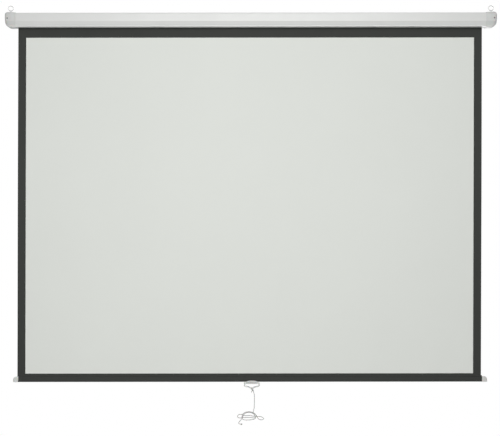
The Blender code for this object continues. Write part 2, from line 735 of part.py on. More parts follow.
def spring_shaft():
    profile = [
        (SHAFT_INNER, PIN_RADIUS), (SHAFT_INNER, HUB_RADIUS), (SHAFT_INNER + SHAFT_COLLAR, HUB_RADIUS),
        (SHAFT_INNER + SHAFT_COLLAR, PIN_RADIUS), (PLATE_INNER - GAP - SHOULDER_WIDTH, PIN_RADIUS),
        (PLATE_INNER - GAP - SHOULDER_WIDTH, RATCHET_RADIUS), (PLATE_INNER - GAP, RATCHET_RADIUS),
        (PLATE_INNER - GAP, TANG_THICK / 2 - GAP),
    ]
    shaft = finish("spring_shaft", turned(profile, 24, 0, AXIS_Z), WORLD, *STEEL)
    tang = block((PLATE_INNER - GAP - SHOULDER_WIDTH / 2, -TANG_WIDTH / 2, AXIS_Z - TANG_THICK / 2),
                 (PLATE_OUTER + 0.002, TANG_WIDTH / 2, AXIS_Z + TANG_THICK / 2))
    boolean(shaft, tool_of("shaft_tang", tang), "UNION")


def ratchet_collar():
    """A notched collar fixed on the shaft."""
    outer, inner = [], []
    per_notch = 8
    count = RATCHET_NOTCHES * per_notch
    for i in range(count):
        angle = 2 * math.pi * i / count
        depth = 0.0015 if i % per_notch in (0, 1) else 0.0
        radius = RATCHET_RADIUS - depth
        outer.append((radius * math.cos(angle), AXIS_Z + radius * math.sin(angle)))
        bore = PIN_RADIUS + GAP
        inner.append((bore * math.cos(angle), AXIS_Z + bore * math.sin(angle)))
    finish("ratchet_collar", sleeve(outer, inner, RATCHET_X, RATCHET_X + RATCHET_WIDTH), WORLD, *STEEL)


def torsion_spring():
    """Open-wound wire round the shaft's collar at one end and the plug's hub at the other."""
    start = SHAFT_INNER + 0.0015
    length = TUBE_RIGHT - PLUG_DEPTH - 0.0015 - start
    per_curl = 9
    count = SPRING_CURLS * per_curl
    points = []
    for i in range(count + 1):
        turn = 2 * math.pi * i / per_curl
        points.append(Vector((start + length * i / count, SPRING_RADIUS * math.cos(turn),
                              AXIS_Z + SPRING_RADIUS * math.sin(turn))))
    for end, before, spot in ((0, 1, 0), (-1, -2, count + 2)):
        away = (points[end] - points[before]).normalized()
        points.insert(spot, points[end] + away * SPRING_WIRE)
    print(f"torsion spring: least gap to itself {least_gap(points, SPRING_WIRE) * 1000:.2f} mm")
    tube_along("torsion_spring", points, WORLD, SPRING_WIRE, 1, (0.35, 0.35, 0.36), 0.35)


def pawl(number, plug):
    """A hooked lever on a pin in the plug's flange, shown lifted clear of the ratchet."""
    start = math.pi * (number - 1)
    letter = "ab"[number - 1]

    def polar(radius, angle):
        angle = math.radians(angle) + start
        return (radius * math.cos(angle), AXIS_Z + radius * math.sin(angle))

    pin_y, pin_z = polar(PAWL_ORBIT, 0)
    axis = pivot(f"pawl_axis_{letter}", PAWL_X, pin_y, pin_z)
    nose = RATCHET_RADIUS + 0.0006
    outline = [polar(nose, 62), polar(nose + 0.0002, 52), polar(nose + 0.0018, 34), polar(PAWL_ORBIT - 0.0024, 8)]
    for step in range(7):
        angle = start + math.radians(-110 + 28 * step)
        outline.append((pin_y + PAWL_EYE * math.cos(angle), pin_z + PAWL_EYE * math.sin(angle)))
    outline += [polar(PAWL_ORBIT + 0.0008, 32), polar(nose + 0.0028, 58)]
    outline = [outline[3], *outline[4:], *outline[:3]]
    lever = finish(f"pawl_{letter}", prism(outline, PAWL_X, PAWL_X + PAWL_WIDTH), axis, *STEEL)
    bore = turned([(PAWL_X - 0.003, PAWL_PIN + GAP), (PAWL_X + PAWL_WIDTH + 0.003, PAWL_PIN + GAP)],
                  12, pin_y, pin_z)
    boolean(lever, tool_of(f"pawl_bore_{letter}", bore), "DIFFERENCE")
    foot = RIGHT_FLANGE + 0.0006
    head = PAWL_X + PAWL_WIDTH + GAP
    rivet = turned([
        (foot + GAP, PAWL_PIN), (RIGHT_FLANGE + PLUG_FLANGE + GAP, PAWL_PIN),
        (RIGHT_FLANGE + PLUG_FLANGE + GAP, PAWL_PIN_HEAD), (PAWL_X - GAP, PAWL_PIN_HEAD),
        (PAWL_X - GAP, PAWL_PIN), (head, PAWL_PIN), (head, PAWL_PIN_HEAD), (head + 0.0009, PAWL_PIN_HEAD),
    ], 12, pin_y, pin_z)
    finish(f"pawl_pin_{letter}", rivet, ROLLER, *STEEL)
    socket = turned([(foot, PAWL_PIN + GAP), (RIGHT_FLANGE + 0.01, PAWL_PIN + GAP)], 12, pin_y, pin_z)
    boolean(plug, tool_of(f"pawl_socket_{letter}", socket), "DIFFERENCE")


# Sheet: black-backed fabric with the white image coating on its front


def sheet():
    backing = block((SHEET_LEFT, SHEET_FRONT, HEM_TOP + GAP),
                    (SHEET_RIGHT, SHEET_FRONT + FABRIC, AXIS_Z - GAP))
    finish("black_backing", backing, WORLD, (0.045, 0.047, 0.045), 0.85)
    half = IMAGE_WIDTH / 2
    image = block((SHEET_SHIFT - half, SHEET_FRONT - GAP - COATING, IMAGE_BOTTOM),
                  (SHEET_SHIFT + half, SHEET_FRONT - GAP, IMAGE_TOP))
    finish("white_face", image, WORLD, (0.72, 0.74, 0.71), 0.9)


# Bar: a flat steel bar in the hem, with a moulded plug on each end


def slat(extra, steps=3):
    """The bar's rounded section as (y, z), grown by extra."""
    half_y, half_z = BAR_THICK / 2, BAR_HEIGHT / 2
    corners = [(-half_y, -half_z), (-half_y, half_z), (half_y, half_z), (half_y, -half_z)]
    path = grow(fillet([(y, z, BAR_ROUND) for y, z in corners], steps), extra)
    return [(SHEET_Y + point.x, BAR_Z + point.y) for point in path]


BAR_REACH = SHEET_HALF + PLUG_LENGTH + GAP


def bar():
    inner_end = SHEET_HALF + GAP + BAR_IN_PLUG
    steel = prism(slat(0), SHEET_SHIFT - inner_end, SHEET_SHIFT + inner_end)
    slat_bar = finish("hem_bar", steel, BAR, (0.05, 0.05, 0.05), 0.4, 0.6)
    pocket = finish("hem_pocket", sleeve(slat(HEM_SKIN), slat(GAP), SHEET_LEFT, SHEET_RIGHT),
                    BAR, (0.04, 0.042, 0.04), 0.85)
    for side in (-1, 1):
        end = SHEET_SHIFT + side * BAR_REACH
        start = SHEET_SHIFT + side * (SHEET_HALF + GAP)
        low, high = HEM_BOTTOM - PLUG_PROUD, HEM_TOP + PLUG_PROUD
        outline = [(start, low), (start, high)]
        for step in range(7):
            angle = math.pi / 2 * (1 - step / 6)
            outline.append((end - side * PLUG_CORNER * (1 - math.cos(angle)),
                            high - PLUG_CORNER * (1 - math.sin(angle))))
        outline += [(end, low + 0.003), (end - side * 0.001, low + 0.001), (end - side * 0.003, low)]
        thick = HEM_HALF + PLUG_PROUD
        bm = prism(outline, SHEET_Y - thick, SHEET_Y + thick, axis="Y")
        rim = [edge for edge in bm.edges if abs(edge.verts[0].co.y - edge.verts[1].co.y) < 1e-6]
        bmesh.ops.bevel(bm, geom=rim, offset=0.0009, segments=1, affect="EDGES", profile=0.5)
        plug = finish(f"bar_plug_{side_name(side)}", bm, BAR, (0.74, 0.75, 0.73), 0.45)
        socket = prism(slat(GAP), start - side * 0.004, start + side * (BAR_IN_PLUG + GAP))
        boolean(plug, tool_of(f"bar_socket_{side_name(side)}", socket), "DIFFERENCE")
    return slat_bar, pocket


# Clip and handle: a moulded saddle screwed to the bar from behind, and the loop that turns in it


def handle_clip(slat_bar, pocket):
    inner = HEM_HALF + GAP
    outer = inner + CLIP_WALL
    web = HEM_BOTTOM - GAP
    top = HEM_BOTTOM + CLIP_ARCH + 0.001
    profile = [(-outer, top), (-inner, top), (-inner, web), (inner, web), (inner, top), (outer, top),
               (outer, web - CLIP_WEB + 0.001), (outer - 0.001, web - CLIP_WEB),
               (0.001 - outer, web - CLIP_WEB), (-outer, web - CLIP_WEB + 0.001)]
    low, high = HANDLE_X - CLIP_HALF, HANDLE_X + CLIP_HALF
    clip = finish("handle_clip", prism([(SHEET_Y + y, z) for y, z in profile], low, high), BAR, *WHITE_PLASTIC)
    shell = ROD_RADIUS + GAP + TUNNEL_WALL
    barrel = turned([(low, shell), (high, shell)], 20, SHEET_Y, ROD_Z)
    boolean(clip, tool_of("clip_barrel", barrel), "UNION")
    bore = ROD_RADIUS + GAP
    boolean(clip, tool_of("clip_bore", turned([(low - 0.01, bore), (high + 0.01, bore)], 20, SHEET_Y, ROD_Z)),
            "DIFFERENCE")
    mouth = block((low - 0.01, SHEET_Y + bore / 2, ROD_Z - MOUTH_WIDTH / 2),
                  (high + 0.01, SHEET_Y + shell + 0.003, ROD_Z + MOUTH_WIDTH / 2))
    boolean(clip, tool_of("clip_mouth", mouth), "DIFFERENCE")
    arch = [(low + 0.0005, ROD_Z - 0.02), (low + 0.0005, HEM_BOTTOM - 0.0005)]
    for step in range(17):
        angle = math.pi * (1 - step / 16)
        arch.append((HANDLE_X + (CLIP_HALF - 0.0005) * math.cos(angle), HEM_BOTTOM + CLIP_ARCH * math.sin(angle)))
    arch += [(high - 0.0005, HEM_BOTTOM - 0.0005), (high - 0.0005, ROD_Z - 0.02)]
    arch_tool = prism(arch, SHEET_Y - 0.05, SHEET_Y + 0.05, axis="Y")
    boolean(clip, tool_of("clip_arch", arch_tool), "INTERSECT")
    for side in (-1, 1):
        x = HANDLE_X + side * CLIP_SCREW_X
        z = HEM_BOTTOM + CLIP_SCREW_UP
        seat = SHEET_Y + outer + GAP
        tip = SHEET_Y + BAR_THICK / 2 - CLIP_SCREW_DEPTH
        profile = [(tip, CLIP_SCREW_SHANK * 0.5), (tip + 0.0008, CLIP_SCREW_SHANK), (seat, CLIP_SCREW_SHANK),
                   (seat, CLIP_SCREW_HEAD), (seat + 0.0007, CLIP_SCREW_HEAD), (seat + 0.0012, CLIP_SCREW_HEAD * 0.6)]
        finish(f"clip_screw_{side_name(side)}", along_y(profile, x, z, 12), BAR, *STEEL)
        hole = along_y([(tip - 0.0005, CLIP_SCREW_SHANK + GAP), (seat + 0.01, CLIP_SCREW_SHANK + GAP)], x, z, 12)
        drill = tool_of(f"clip_drill_{side_name(side)}", hole)
        for piece in (clip, slat_bar, pocket):
            boolean(piece, drill, "DIFFERENCE")


def pull_handle():
    right_outer = [(HANDLE_HALF, HANDLE_TOP), (HANDLE_HALF, 0.004 - HANDLE_SHOULDER),
                   (HANDLE_HALF - 0.003, -HANDLE_SHOULDER), (0.019, -HANDLE_SHOULDER - 0.0020),
                   (0.0085, -HANDLE_SHOULDER - 0.0065), (TIE_FLAT + 0.0005, -HANDLE_DIP)]
    inside = HANDLE_HALF - HANDLE_ARM
    right_inner = [(inside, HANDLE_TOP), (inside, HANDLE_BAR + 0.001 - HANDLE_SHOULDER),
                   (inside - 0.002, HANDLE_BAR - 0.0005 - HANDLE_SHOULDER),
                   (0.0165, HANDLE_BAR - HANDLE_SHOULDER - 0.0020),
                   (0.0070, HANDLE_BAR - HANDLE_SHOULDER - 0.0060), (TIE_FLAT, HANDLE_BAR - HANDLE_DIP)]
    outline = [*right_outer, *[(-x, z) for x, z in reversed(right_outer)]]
    outline += [*[(-x, z) for x, z in right_inner], *reversed(right_inner)]
    half = HANDLE_THICK / 2
    bm = prism([(HANDLE_X + x, ROD_Z + z) for x, z in outline], SHEET_Y - half, SHEET_Y + half, axis="Y")
    rim = [edge for edge in bm.edges if abs(edge.verts[0].co.y - edge.verts[1].co.y) < 1e-6]
    bmesh.ops.bevel(bm, geom=rim, offset=0.0014, segments=2, affect="EDGES", profile=0.5)
    handle = finish("pull_handle", bm, HANDLE, *WHITE_PLASTIC)
    reach = inside + HANDLE_ARM / 2
    rod = turned([(HANDLE_X - reach, ROD_RADIUS), (HANDLE_X + reach, ROD_RADIUS)], 16, SHEET_Y, ROD_Z)
    boolean(handle, tool_of("handle_rod", rod), "UNION")


# Cord: tied round the handle's V, falling to a loose bunch with a knot at its end


def placed(route):
    return [Vector((HANDLE_X + x / 1000, SHEET_Y + y / 1000, ROD_Z + z / 1000)) for x, y, z in route]


def lump(centre, size, segments=12, rows=8):
    bm = bmesh.new()
    bmesh.ops.create_uvsphere(bm, u_segments=segments, v_segments=rows, radius=1)
    for vert in bm.verts:
        vert.co = Vector([c + s * v for c, s, v in zip(centre, size, vert.co)])
    return bm


def cord():
    colour = ((0.82, 0.82, 0.80), 0.8)
    rings = []
    for i in range(20):
        turn = 2 * math.pi * i / 20
        ring = []
        for k in range(8):
            roll = 2 * math.pi * (k + 0.5) / 8
            radius = TIE_INNER + CORD / 2 + CORD / 2 * math.cos(roll)
            ring.append((HANDLE_X + CORD / 2 * math.sin(roll), SHEET_Y + radius * math.cos(turn),
                         TIE_Z + radius * math.sin(turn)))
        rings.append(ring)
    bm = loft([*rings, rings[0]], closed_ends=False)
    bmesh.ops.remove_doubles(bm, verts=bm.verts, dist=1e-6)
    tie = finish("cord_tie", bm, CORD_PIVOT, *colour)
    drop_start = placed(DROP_ROUTE[:1])[0]
    knot_x = HANDLE_X + KNOT_SHIFT
    knot_z = TIE_Z - TIE_INNER - KNOT_SIZE[2] + GAP
    knot = lump((knot_x, SHEET_Y, knot_z), KNOT_SIZE)
    boolean(tie, tool_of("tie_knot", knot), "UNION")
    tail = turned([(-0.011, CORD * 0.46), (-0.001, CORD / 2)], 8)
    for vert in tail.verts:
        x, y, z = vert.co
        vert.co = (knot_x - 0.0020 + 0.35 * x + 0.9 * z, SHEET_Y + y, knot_z - 0.0004 + 0.9 * x - 0.35 * z)
    boolean(tie, tool_of("tie_tail", tail), "UNION")
    stub = turned([(drop_start.z + GAP, CORD / 2), (knot_z, CORD / 2)], 8)
    for vert in stub.verts:
        x, y, z = vert.co
        vert.co = (drop_start.x + z, drop_start.y + y, x)
    boolean(tie, tool_of("tie_stub", stub), "UNION")
    drop = smooth_line(placed(DROP_ROUTE), DROP_POINTS)
    drop.insert(0, placed(DROP_ROUTE[:1])[0])
    drop[1] = drop[0] - Vector((0, 0, CORD))
    hank = smooth_line(placed(HANK_ROUTE), HANK_POINTS)
    meet = (hank[1] - hank[0]).normalized()
    drop[-1] = hank[0] - meet * GAP
    drop.insert(-1, drop[-1] - meet * CORD)
    hank.insert(1, hank[0] + meet * CORD)
    away = (hank[-1] - hank[-2]).normalized()
    hank.insert(-1, hank[-1] - away * CORD)
    print(f"cord hank: least gap to itself {least_gap(hank, CORD) * 1000:.2f} mm")
    for name, line in (("drop", drop), ("hank", hank)):
        length = sum((b - a).length for a, b in zip(line, line[1:]))
        print(f"cord {name}: {length:.3f} m")
    tube_along("cord_drop", drop, CORD_PIVOT, CORD, 2, *colour)
    tube_along("cord_hank", hank, CORD_PIVOT, CORD, 1, *colour)
    knot_at = hank[-1] + away * (END_KNOT_SIZE[0] + GAP)
    finish("cord_end_knot", lump(knot_at, END_KNOT_SIZE), CORD_PIVOT, *colour)


shell = casing()
for side in (-1, 1):
    cap = end_cap(side)
    plate = hanger_plate(side)
    for face in (-1, 1):
        cap_screw(side, face, cap, plate, shell)
    hanging_ring(side)
spring_plug = roller()
fabric_wraps()
spring_shaft()
ratchet_collar()
torsion_spring()
for number in (1, 2):
    pawl(number, spring_plug)
sheet()
handle_clip(*bar())
pull_handle()
cord()
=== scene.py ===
import json
import math

import bmesh
import bpy
from mathutils import Matrix, Vector


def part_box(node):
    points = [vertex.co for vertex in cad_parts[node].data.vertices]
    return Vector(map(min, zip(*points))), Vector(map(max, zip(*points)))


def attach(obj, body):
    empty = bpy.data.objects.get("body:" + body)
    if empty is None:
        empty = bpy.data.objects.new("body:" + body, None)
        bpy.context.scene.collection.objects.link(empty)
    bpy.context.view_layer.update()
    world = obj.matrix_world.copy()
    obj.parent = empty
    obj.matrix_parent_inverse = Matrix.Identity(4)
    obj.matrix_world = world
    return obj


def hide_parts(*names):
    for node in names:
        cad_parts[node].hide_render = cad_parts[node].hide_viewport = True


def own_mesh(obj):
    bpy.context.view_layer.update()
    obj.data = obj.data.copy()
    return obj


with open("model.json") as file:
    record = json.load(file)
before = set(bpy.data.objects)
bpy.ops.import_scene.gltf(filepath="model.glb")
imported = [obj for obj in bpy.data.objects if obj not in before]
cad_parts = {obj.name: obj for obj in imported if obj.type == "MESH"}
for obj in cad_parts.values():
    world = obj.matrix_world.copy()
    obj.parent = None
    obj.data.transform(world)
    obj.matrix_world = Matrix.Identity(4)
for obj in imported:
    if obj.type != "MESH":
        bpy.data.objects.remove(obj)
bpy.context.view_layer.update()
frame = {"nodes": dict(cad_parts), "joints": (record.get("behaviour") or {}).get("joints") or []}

# Camera: level, six metres in front of the sheet and just under a metre below the casing's top,
# as the photo's perspective shows. The screen hangs turned by a hair, so the picture is too.

casing_low, casing_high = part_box("casing_shell")
sheet_low, sheet_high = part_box("black_backing")
CASE_TOP = casing_high.z
SHEET_Y = (sheet_low.y + sheet_high.y) / 2
AWAY, BELOW_TOP, ASIDE = 6.0237, 0.9249, -0.0048
TILT = math.radians(0.05)
camera = bpy.data.objects.new("camera", bpy.data.cameras.new("camera"))
camera.data.sensor_width = 36
camera.data.lens = 95.54
camera.data.clip_end = 100
camera.location = (ASIDE, SHEET_Y - AWAY, CASE_TOP - BELOW_TOP)
camera.rotation_euler = (math.radians(90), TILT, 0)
bpy.context.scene.collection.objects.link(camera)
bpy.context.scene.camera = camera
bpy.context.scene.view_settings.view_transform = "Standard"

# Studio: a white room that the camera and the reflections see as plain white. A broad soft lamp in
# front is brightest on the middle of the sheet, and a pale round floor lies well below the screen.


def wire(tree, made, inputs):
    """Sets a node's inputs, each to a value or to a link from a socket."""
    for key, value in inputs.items():
        if isinstance(value, bpy.types.NodeSocket):
            tree.links.new(value, made.inputs[key])
        else:
            made.inputs[key].default_value = value
    return made


def node(tree, kind, inputs=None, **settings):
    """Adds a shader node with its settings and its inputs."""
    made = tree.nodes.new("ShaderNode" + kind)
    for key, value in settings.items():
        setattr(made, key, value)
    return wire(tree, made, inputs or {})


def calc(tree, operation, *values):
    """The result of a sum on values or sockets."""
    return node(tree, "Math", dict(enumerate(values)), operation=operation).outputs[0]


def ranged(tree, value, low, high, start=0.0, end=1.0, **settings):
    """A value that runs from start to end, made to run from low to high."""
    return node(tree, "MapRange", {"Value": value, "From Min": start, "From Max": end,
                                   "To Min": low, "To Max": high}, **settings).outputs[0]


def area_lamp(name, place, target, width, height, watts, colour=(1, 1, 1)):
    """A soft rectangular lamp at a place, facing a target."""
    data = bpy.data.lights.new(name, "AREA")
    data.shape = "RECTANGLE"
    data.size = width
    data.size_y = height
    data.energy = watts
    data.color = colour
    lamp = bpy.data.objects.new(name, data)
    lamp.location = place
    lamp.rotation_euler = (Vector(target) - Vector(place)).to_track_quat("-Z", "Y").to_euler()
    bpy.context.scene.collection.objects.link(lamp)


world = bpy.data.worlds.new("studio")
bpy.context.scene.world = world
world.use_nodes = True
tree = world.node_tree
ambient = tree.nodes["Background"]
ambient.inputs["Color"].default_value = (0.97, 0.985, 1.0, 1)
aim = node(tree, "TexCoord")
facing = node(tree, "SeparateXYZ", {0: aim.outputs["Generated"]})
front = ranged(tree, facing.outputs["Y"], 0.36, 0.14, start=-1.0, end=0.4)
tree.links.new(front, ambient.inputs["Strength"])
white = node(tree, "Background", {"Color": (1, 1, 1, 1), "Strength": 1.0})
path = node(tree, "LightPath")
seen = path.outputs["Is Camera Ray"]
for ray in ("Is Glossy Ray", "Is Transmission Ray"):
    seen = calc(tree, "MAXIMUM", seen, path.outputs[ray])
room = node(tree, "MixShader", {0: seen, 1: ambient.outputs[0], 2: white.outputs[0]})
tree.links.new(room.outputs[0], tree.nodes["World Output"].inputs["Surface"])
WARM = (1.0, 1.0, 0.985)
area_lamp("key", (0.08, -3.3, 0.44), (0.0, 0.0, -0.6), 2.2, 0.5, 40, WARM)
area_lamp("low", (-0.3, -3.6, -1.35), (0.0, 0.0, -0.9), 1.6, 0.9, 36, WARM)
area_lamp("fill_left", (-3.6, -2.6, 0.2), (0.0, 0.0, -0.8), 2.0, 2.0, 5)
area_lamp("fill_right", (3.6, -2.6, 0.2), (0.0, 0.0, -0.8), 2.0, 2.0, 3)
area_lamp("behind", (0.6, 3.4, -1.35), (0.0, 0.0, -0.7), 2.4, 1.4, 42)
area_lamp("above", (0.0, 0.5, 2.6), (0.0, 0.0, -0.1), 2.4, 1.0, 22)

FLOOR_Z, FLOOR_RADIUS, FADE_FROM, FADE_TO = -2.6, 3.2, 1.7, 3.1
bm = bmesh.new()
bmesh.ops.create_circle(bm, cap_ends=True, segments=96, radius=FLOOR_RADIUS)
bmesh.ops.translate(bm, verts=bm.verts, vec=(0, 0, FLOOR_Z))
floor_mesh = bpy.data.meshes.new("studio_floor")
bm.to_mesh(floor_mesh)
bm.free()
floor = bpy.data.objects.new("studio_floor", floor_mesh)
bpy.context.scene.collection.objects.link(floor)
paper = bpy.data.materials.new("studio_floor")
paper.use_nodes = True
tree = paper.node_tree
shader = tree.nodes["Principled BSDF"]
shader.inputs["Base Color"].default_value = (0.72, 0.72, 0.72, 1)
shader.inputs["Roughness"].default_value = 0.9
path = node(tree, "LightPath")
place = node(tree, "TexCoord")
spread = node(tree, "VectorMath", {0: place.outputs["Object"], 1: (1, 1, 0)}, operation="MULTIPLY")
spread = node(tree, "VectorMath", {0: spread.outputs[0]}, operation="LENGTH")
fade = ranged(tree, spread.outputs["Value"], 0.0, 1.0, FADE_FROM, FADE_TO, interpolation_type="SMOOTHSTEP")
lift = ranged(tree, path.outputs["Is Camera Ray"], 0.0, 0.56)
glow = node(tree, "Emission", {"Color": (1, 1, 1, 1), "Strength": lift})
lit = node(tree, "AddShader", {0: shader.outputs[0], 1: glow.outputs[0]})
edge = calc(tree, "MULTIPLY", fade, path.outputs["Is Camera Ray"])
plain = node(tree, "Emission", {"Color": (1, 1, 1, 1), "Strength": 1.0})
blend = node(tree, "MixShader", {0: edge, 1: lit.outputs[0], 2: plain.outputs[0]})
tree.links.new(blend.outputs[0], tree.nodes["Material Output"].inputs["Surface"])
floor_mesh.materials.append(paper)

# Pull cord: 3 mm braided white polyester. It is hitched round the handle's V, hangs free for a
# hand's breadth, is doubled to and fro in a loose bunch and ends in an overhand knot.

CORD, CORD_STEP = 0.003, 0.0013
handle_low, handle_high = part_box("pull_handle")
HANDLE_X = (handle_low.x + handle_high.x) / 2
HANDLE_TOP, HANDLE_DIP, HANDLE_BAR = 0.0035, 0.0285, 0.006
ROD_Z = handle_high.z - HANDLE_TOP
TIE_Z = ROD_Z - HANDLE_DIP + HANDLE_BAR / 2
DROP_ROUTE = (
    (7.4, 0.0, -36.6),
    (7.6, 0.0, -40.0),
    (8.8, 0.0, -44.6),
    (10.2, 0.0, -49.6),
    (11.2, 0.2, -57.0),
    (11.4, 0.3, -68.0),
    (11.4, 0.2, -84.0),
    (11.2, 0.0, -100.0),
    (10.6, 0.0, -112.0),
    (8.8, 0.0, -122.0),
    (6.6, 0.0, -129.0),
    (5.2, 0.0, -133.5),
)
HANK_ROUTE = (
    (4.9, 0.0, -136.6),
    (13.1, 0.0, -140.8),
    (19.7, 0.3, -146.9),
    (23.7, 0.3, -154.5),
    (29.1, 0.2, -162.6),
    (38.3, 0.0, -166.6),
    (48.2, -0.6, -166.3),
    (53.6, -1.4, -161.7),
    (48.5, -2.4, -155.7),
    (37.6, -3.4, -152.0),
    (25.8, -4.0, -151.7),
    (14.9, -4.0, -151.4),
    (2.8, -4.0, -149.3),
    (-7.8, -4.0, -146.9),
    (-18.4, -4.0, -147.2),
    (-29.0, -4.0, -148.1),
    (-38.1, -4.0, -145.4),
    (-46.4, -4.0, -142.0),
    (-55.5, -4.0, -141.7),
    (-62.9, -4.0, -145.7),
    (-65.3, -4.0, -151.4),
    (-61.7, -4.0, -156.6),
    (-52.6, -4.0, -157.8),
    (-42.6, -4.0, -156.6),
    (-30.5, -4.0, -156.3),
    (-18.4, -4.6, -155.7),
    (-4.8, -5.6, -156.0),
    (7.3, -7.0, -156.9),
    (15.8, -8.0, -155.1),
    (18.8, -8.2, -148.1),
    (15.2, -8.2, -140.2),
    (7.3, -8.2, -134.2),
    (-2.4, -8.2, -130.5),
    (-13.9, -8.2, -129.3),
    (-25.4, -8.2, -130.5),
    (-36.0, -8.2, -134.8),
    (-42.3, -8.2, -141.7),
    (-44.4, -8.2, -150.2),
    (-44.1, -8.0, -158.4),
    (-40.2, -7.0, -164.4),
    (-30.8, -5.0, -167.2),
    (-18.4, -2.4, -167.5),
    (-5.4, 0.2, -167.0),
    (6.1, 2.4, -165.3),
    (14.6, 3.8, -161.7),
    (16.4, 4.4, -155.4),
    (12.8, 4.6, -147.2),
    (6.4, 4.6, -140.2),
    (-2.7, 4.6, -135.7),
    (-13.9, 4.4, -134.2),
    (-24.5, 4.2, -135.7),
    (-33.2, 4.0, -140.2),
    (-39.0, 4.0, -147.5),
    (-42.3, 4.0, -156.0),
    (-47.1, 3.6, -165.0),
    (-53.5, 2.8, -172.0),
    (-58.6, 1.6, -178.4),
    (-59.6, 0.8, -182.9),
    (-56.8, 0.2, -185.6),
    (-52.3, 0.0, -186.5),
)


def placed(route):
    """Points given in millimetres from the handle's axis, in the row frame."""
    return [Vector((HANDLE_X + x / 1000, SHEET_Y + y / 1000, ROD_Z + z / 1000)) for x, y, z in route]


def distances(points):
    """How far along a line each of its points is."""
    along = [0.0]
    for a, b in zip(points, points[1:]):
        along.append(along[-1] + (b - a).length)
    return along


def smooth_line(route, step, parts=16):
    """Points a step apart along a smooth curve through the route's own points."""
    dense = []
    ends = [2 * route[0] - route[1], *route, 2 * route[-1] - route[-2]]
    for a, b, c, d in zip(ends, ends[1:], ends[2:], ends[3:]):
        for i in range(parts):
            t = i / parts
            dense.append(0.5 * (2 * b + (c - a) * t + (2 * a - 5 * b + 4 * c - d) * t**2
                                + (3 * b - a - 3 * c + d) * t**3))
    dense.append(route[-1])
    along = distances(dense)
    count = max(2, round(along[-1] / step))
    points = []
    spot = 0
    for i in range(count + 1):
        want = along[-1] * i / count
        while spot < len(along) - 2 and along[spot + 1] < want:
            spot += 1
        share = (want - along[spot]) / (along[spot + 1] - along[spot])
        points.append(dense[spot].lerp(dense[spot + 1], share))
    return points


def tube_mesh(points, radius, sides=12):
    """A grid rolled up, without twist, into a tube along points. Its v is in metres along it."""
    tangents = [(after - before).normalized() for before, after in
                zip([points[0], *points], [*points[1:], points[-1]])]
    out = [tangents[0].orthogonal().normalized()]
    for a, b in zip(tangents, tangents[1:]):
        carried = a.rotation_difference(b) @ out[-1]
        out.append((carried - b * carried.dot(b)).normalized())
    along = distances(points)
    bm = bmesh.new()
    bmesh.ops.create_grid(bm, x_segments=sides, y_segments=len(points) - 1, size=0.5)
    uv = bm.loops.layers.uv.new("UVMap")
    for spot in bm.verts:
        share, row = spot.co.x + 0.5, round((spot.co.y + 0.5) * (len(points) - 1))
        for loop in spot.link_loops:
            loop[uv].uv = (share, along[row])
        turn = 2 * math.pi * share
        spot.co = points[row] + radius * (out[row] * math.cos(turn)
                                          + tangents[row].cross(out[row]) * math.sin(turn))
    bmesh.ops.remove_doubles(bm, verts=bm.verts, dist=1e-6)
    bmesh.ops.holes_fill(bm, edges=[edge for edge in bm.edges if edge.is_boundary])
    return bm


def piece(name, bm, body, material, stands_for=(), sharp_over=38):
    """Makes a shown piece that rides on a body and stands for CAD nodes."""
    bmesh.ops.recalc_face_normals(bm, faces=bm.faces)
    mesh = bpy.data.meshes.new(name)
    bm.to_mesh(mesh)
    bm.free()
    mesh.shade_smooth()
    mesh.set_sharp_from_angle(angle=math.radians(sharp_over))
    mesh.materials.append(material)
    made = bpy.data.objects.new(name, mesh)
    bpy.context.scene.collection.objects.link(made)
    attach(made, body)
    if stands_for:
        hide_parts(*stands_for)
    return made


def surface(name, colour, roughness, metallic=0.0, **more):
    """A material, its node tree and its shader, with the constant values set."""
    material = bpy.data.materials.new(name)
    material.use_nodes = True
    shader = material.node_tree.nodes["Principled BSDF"]
    shader.inputs["Base Color"].default_value = (*colour, 1)
    shader.inputs["Roughness"].default_value = roughness
    shader.inputs["Metallic"].default_value = metallic
    for key, value in more.items():
        shader.inputs[key.replace("_", " ")].default_value = value
    return material, material.node_tree, shader


def feed(tree, shader, colour, tone, normal, rough=None):
    """Gives a shader its colour times a tone, its normal, and its roughness where that varies."""
    mix = node(tree, "Mix", {0: 1.0, 6: (*colour, 1), 7: tone}, data_type="RGBA", blend_type="MULTIPLY")
    tree.links.new(mix.outputs[2], shader.inputs["Base Color"])
    tree.links.new(normal, shader.inputs["Normal"])
    if rough:
        tree.links.new(rough, shader.inputs["Roughness"])


def group(name, inputs, outputs):
    """An empty node group with its sockets, and its two end nodes."""
    made = bpy.data.node_groups.new(name, "ShaderNodeTree")
    for label, value in inputs.items():
        socket = made.interface.new_socket(label, in_out="INPUT", socket_type="NodeSocketFloat")
        socket.default_value = value
    for label, kind in outputs.items():
        made.interface.new_socket(label, in_out="OUTPUT", socket_type="NodeSocket" + kind)
    return made, made.nodes.new("NodeGroupInput"), made.nodes.new("NodeGroupOutput")


def use(tree, grouping, inputs=None):
    """Places a node group in a material."""
    made = tree.nodes.new("ShaderNodeGroup")
    made.node_tree = grouping
    return wire(tree, made, inputs or {})


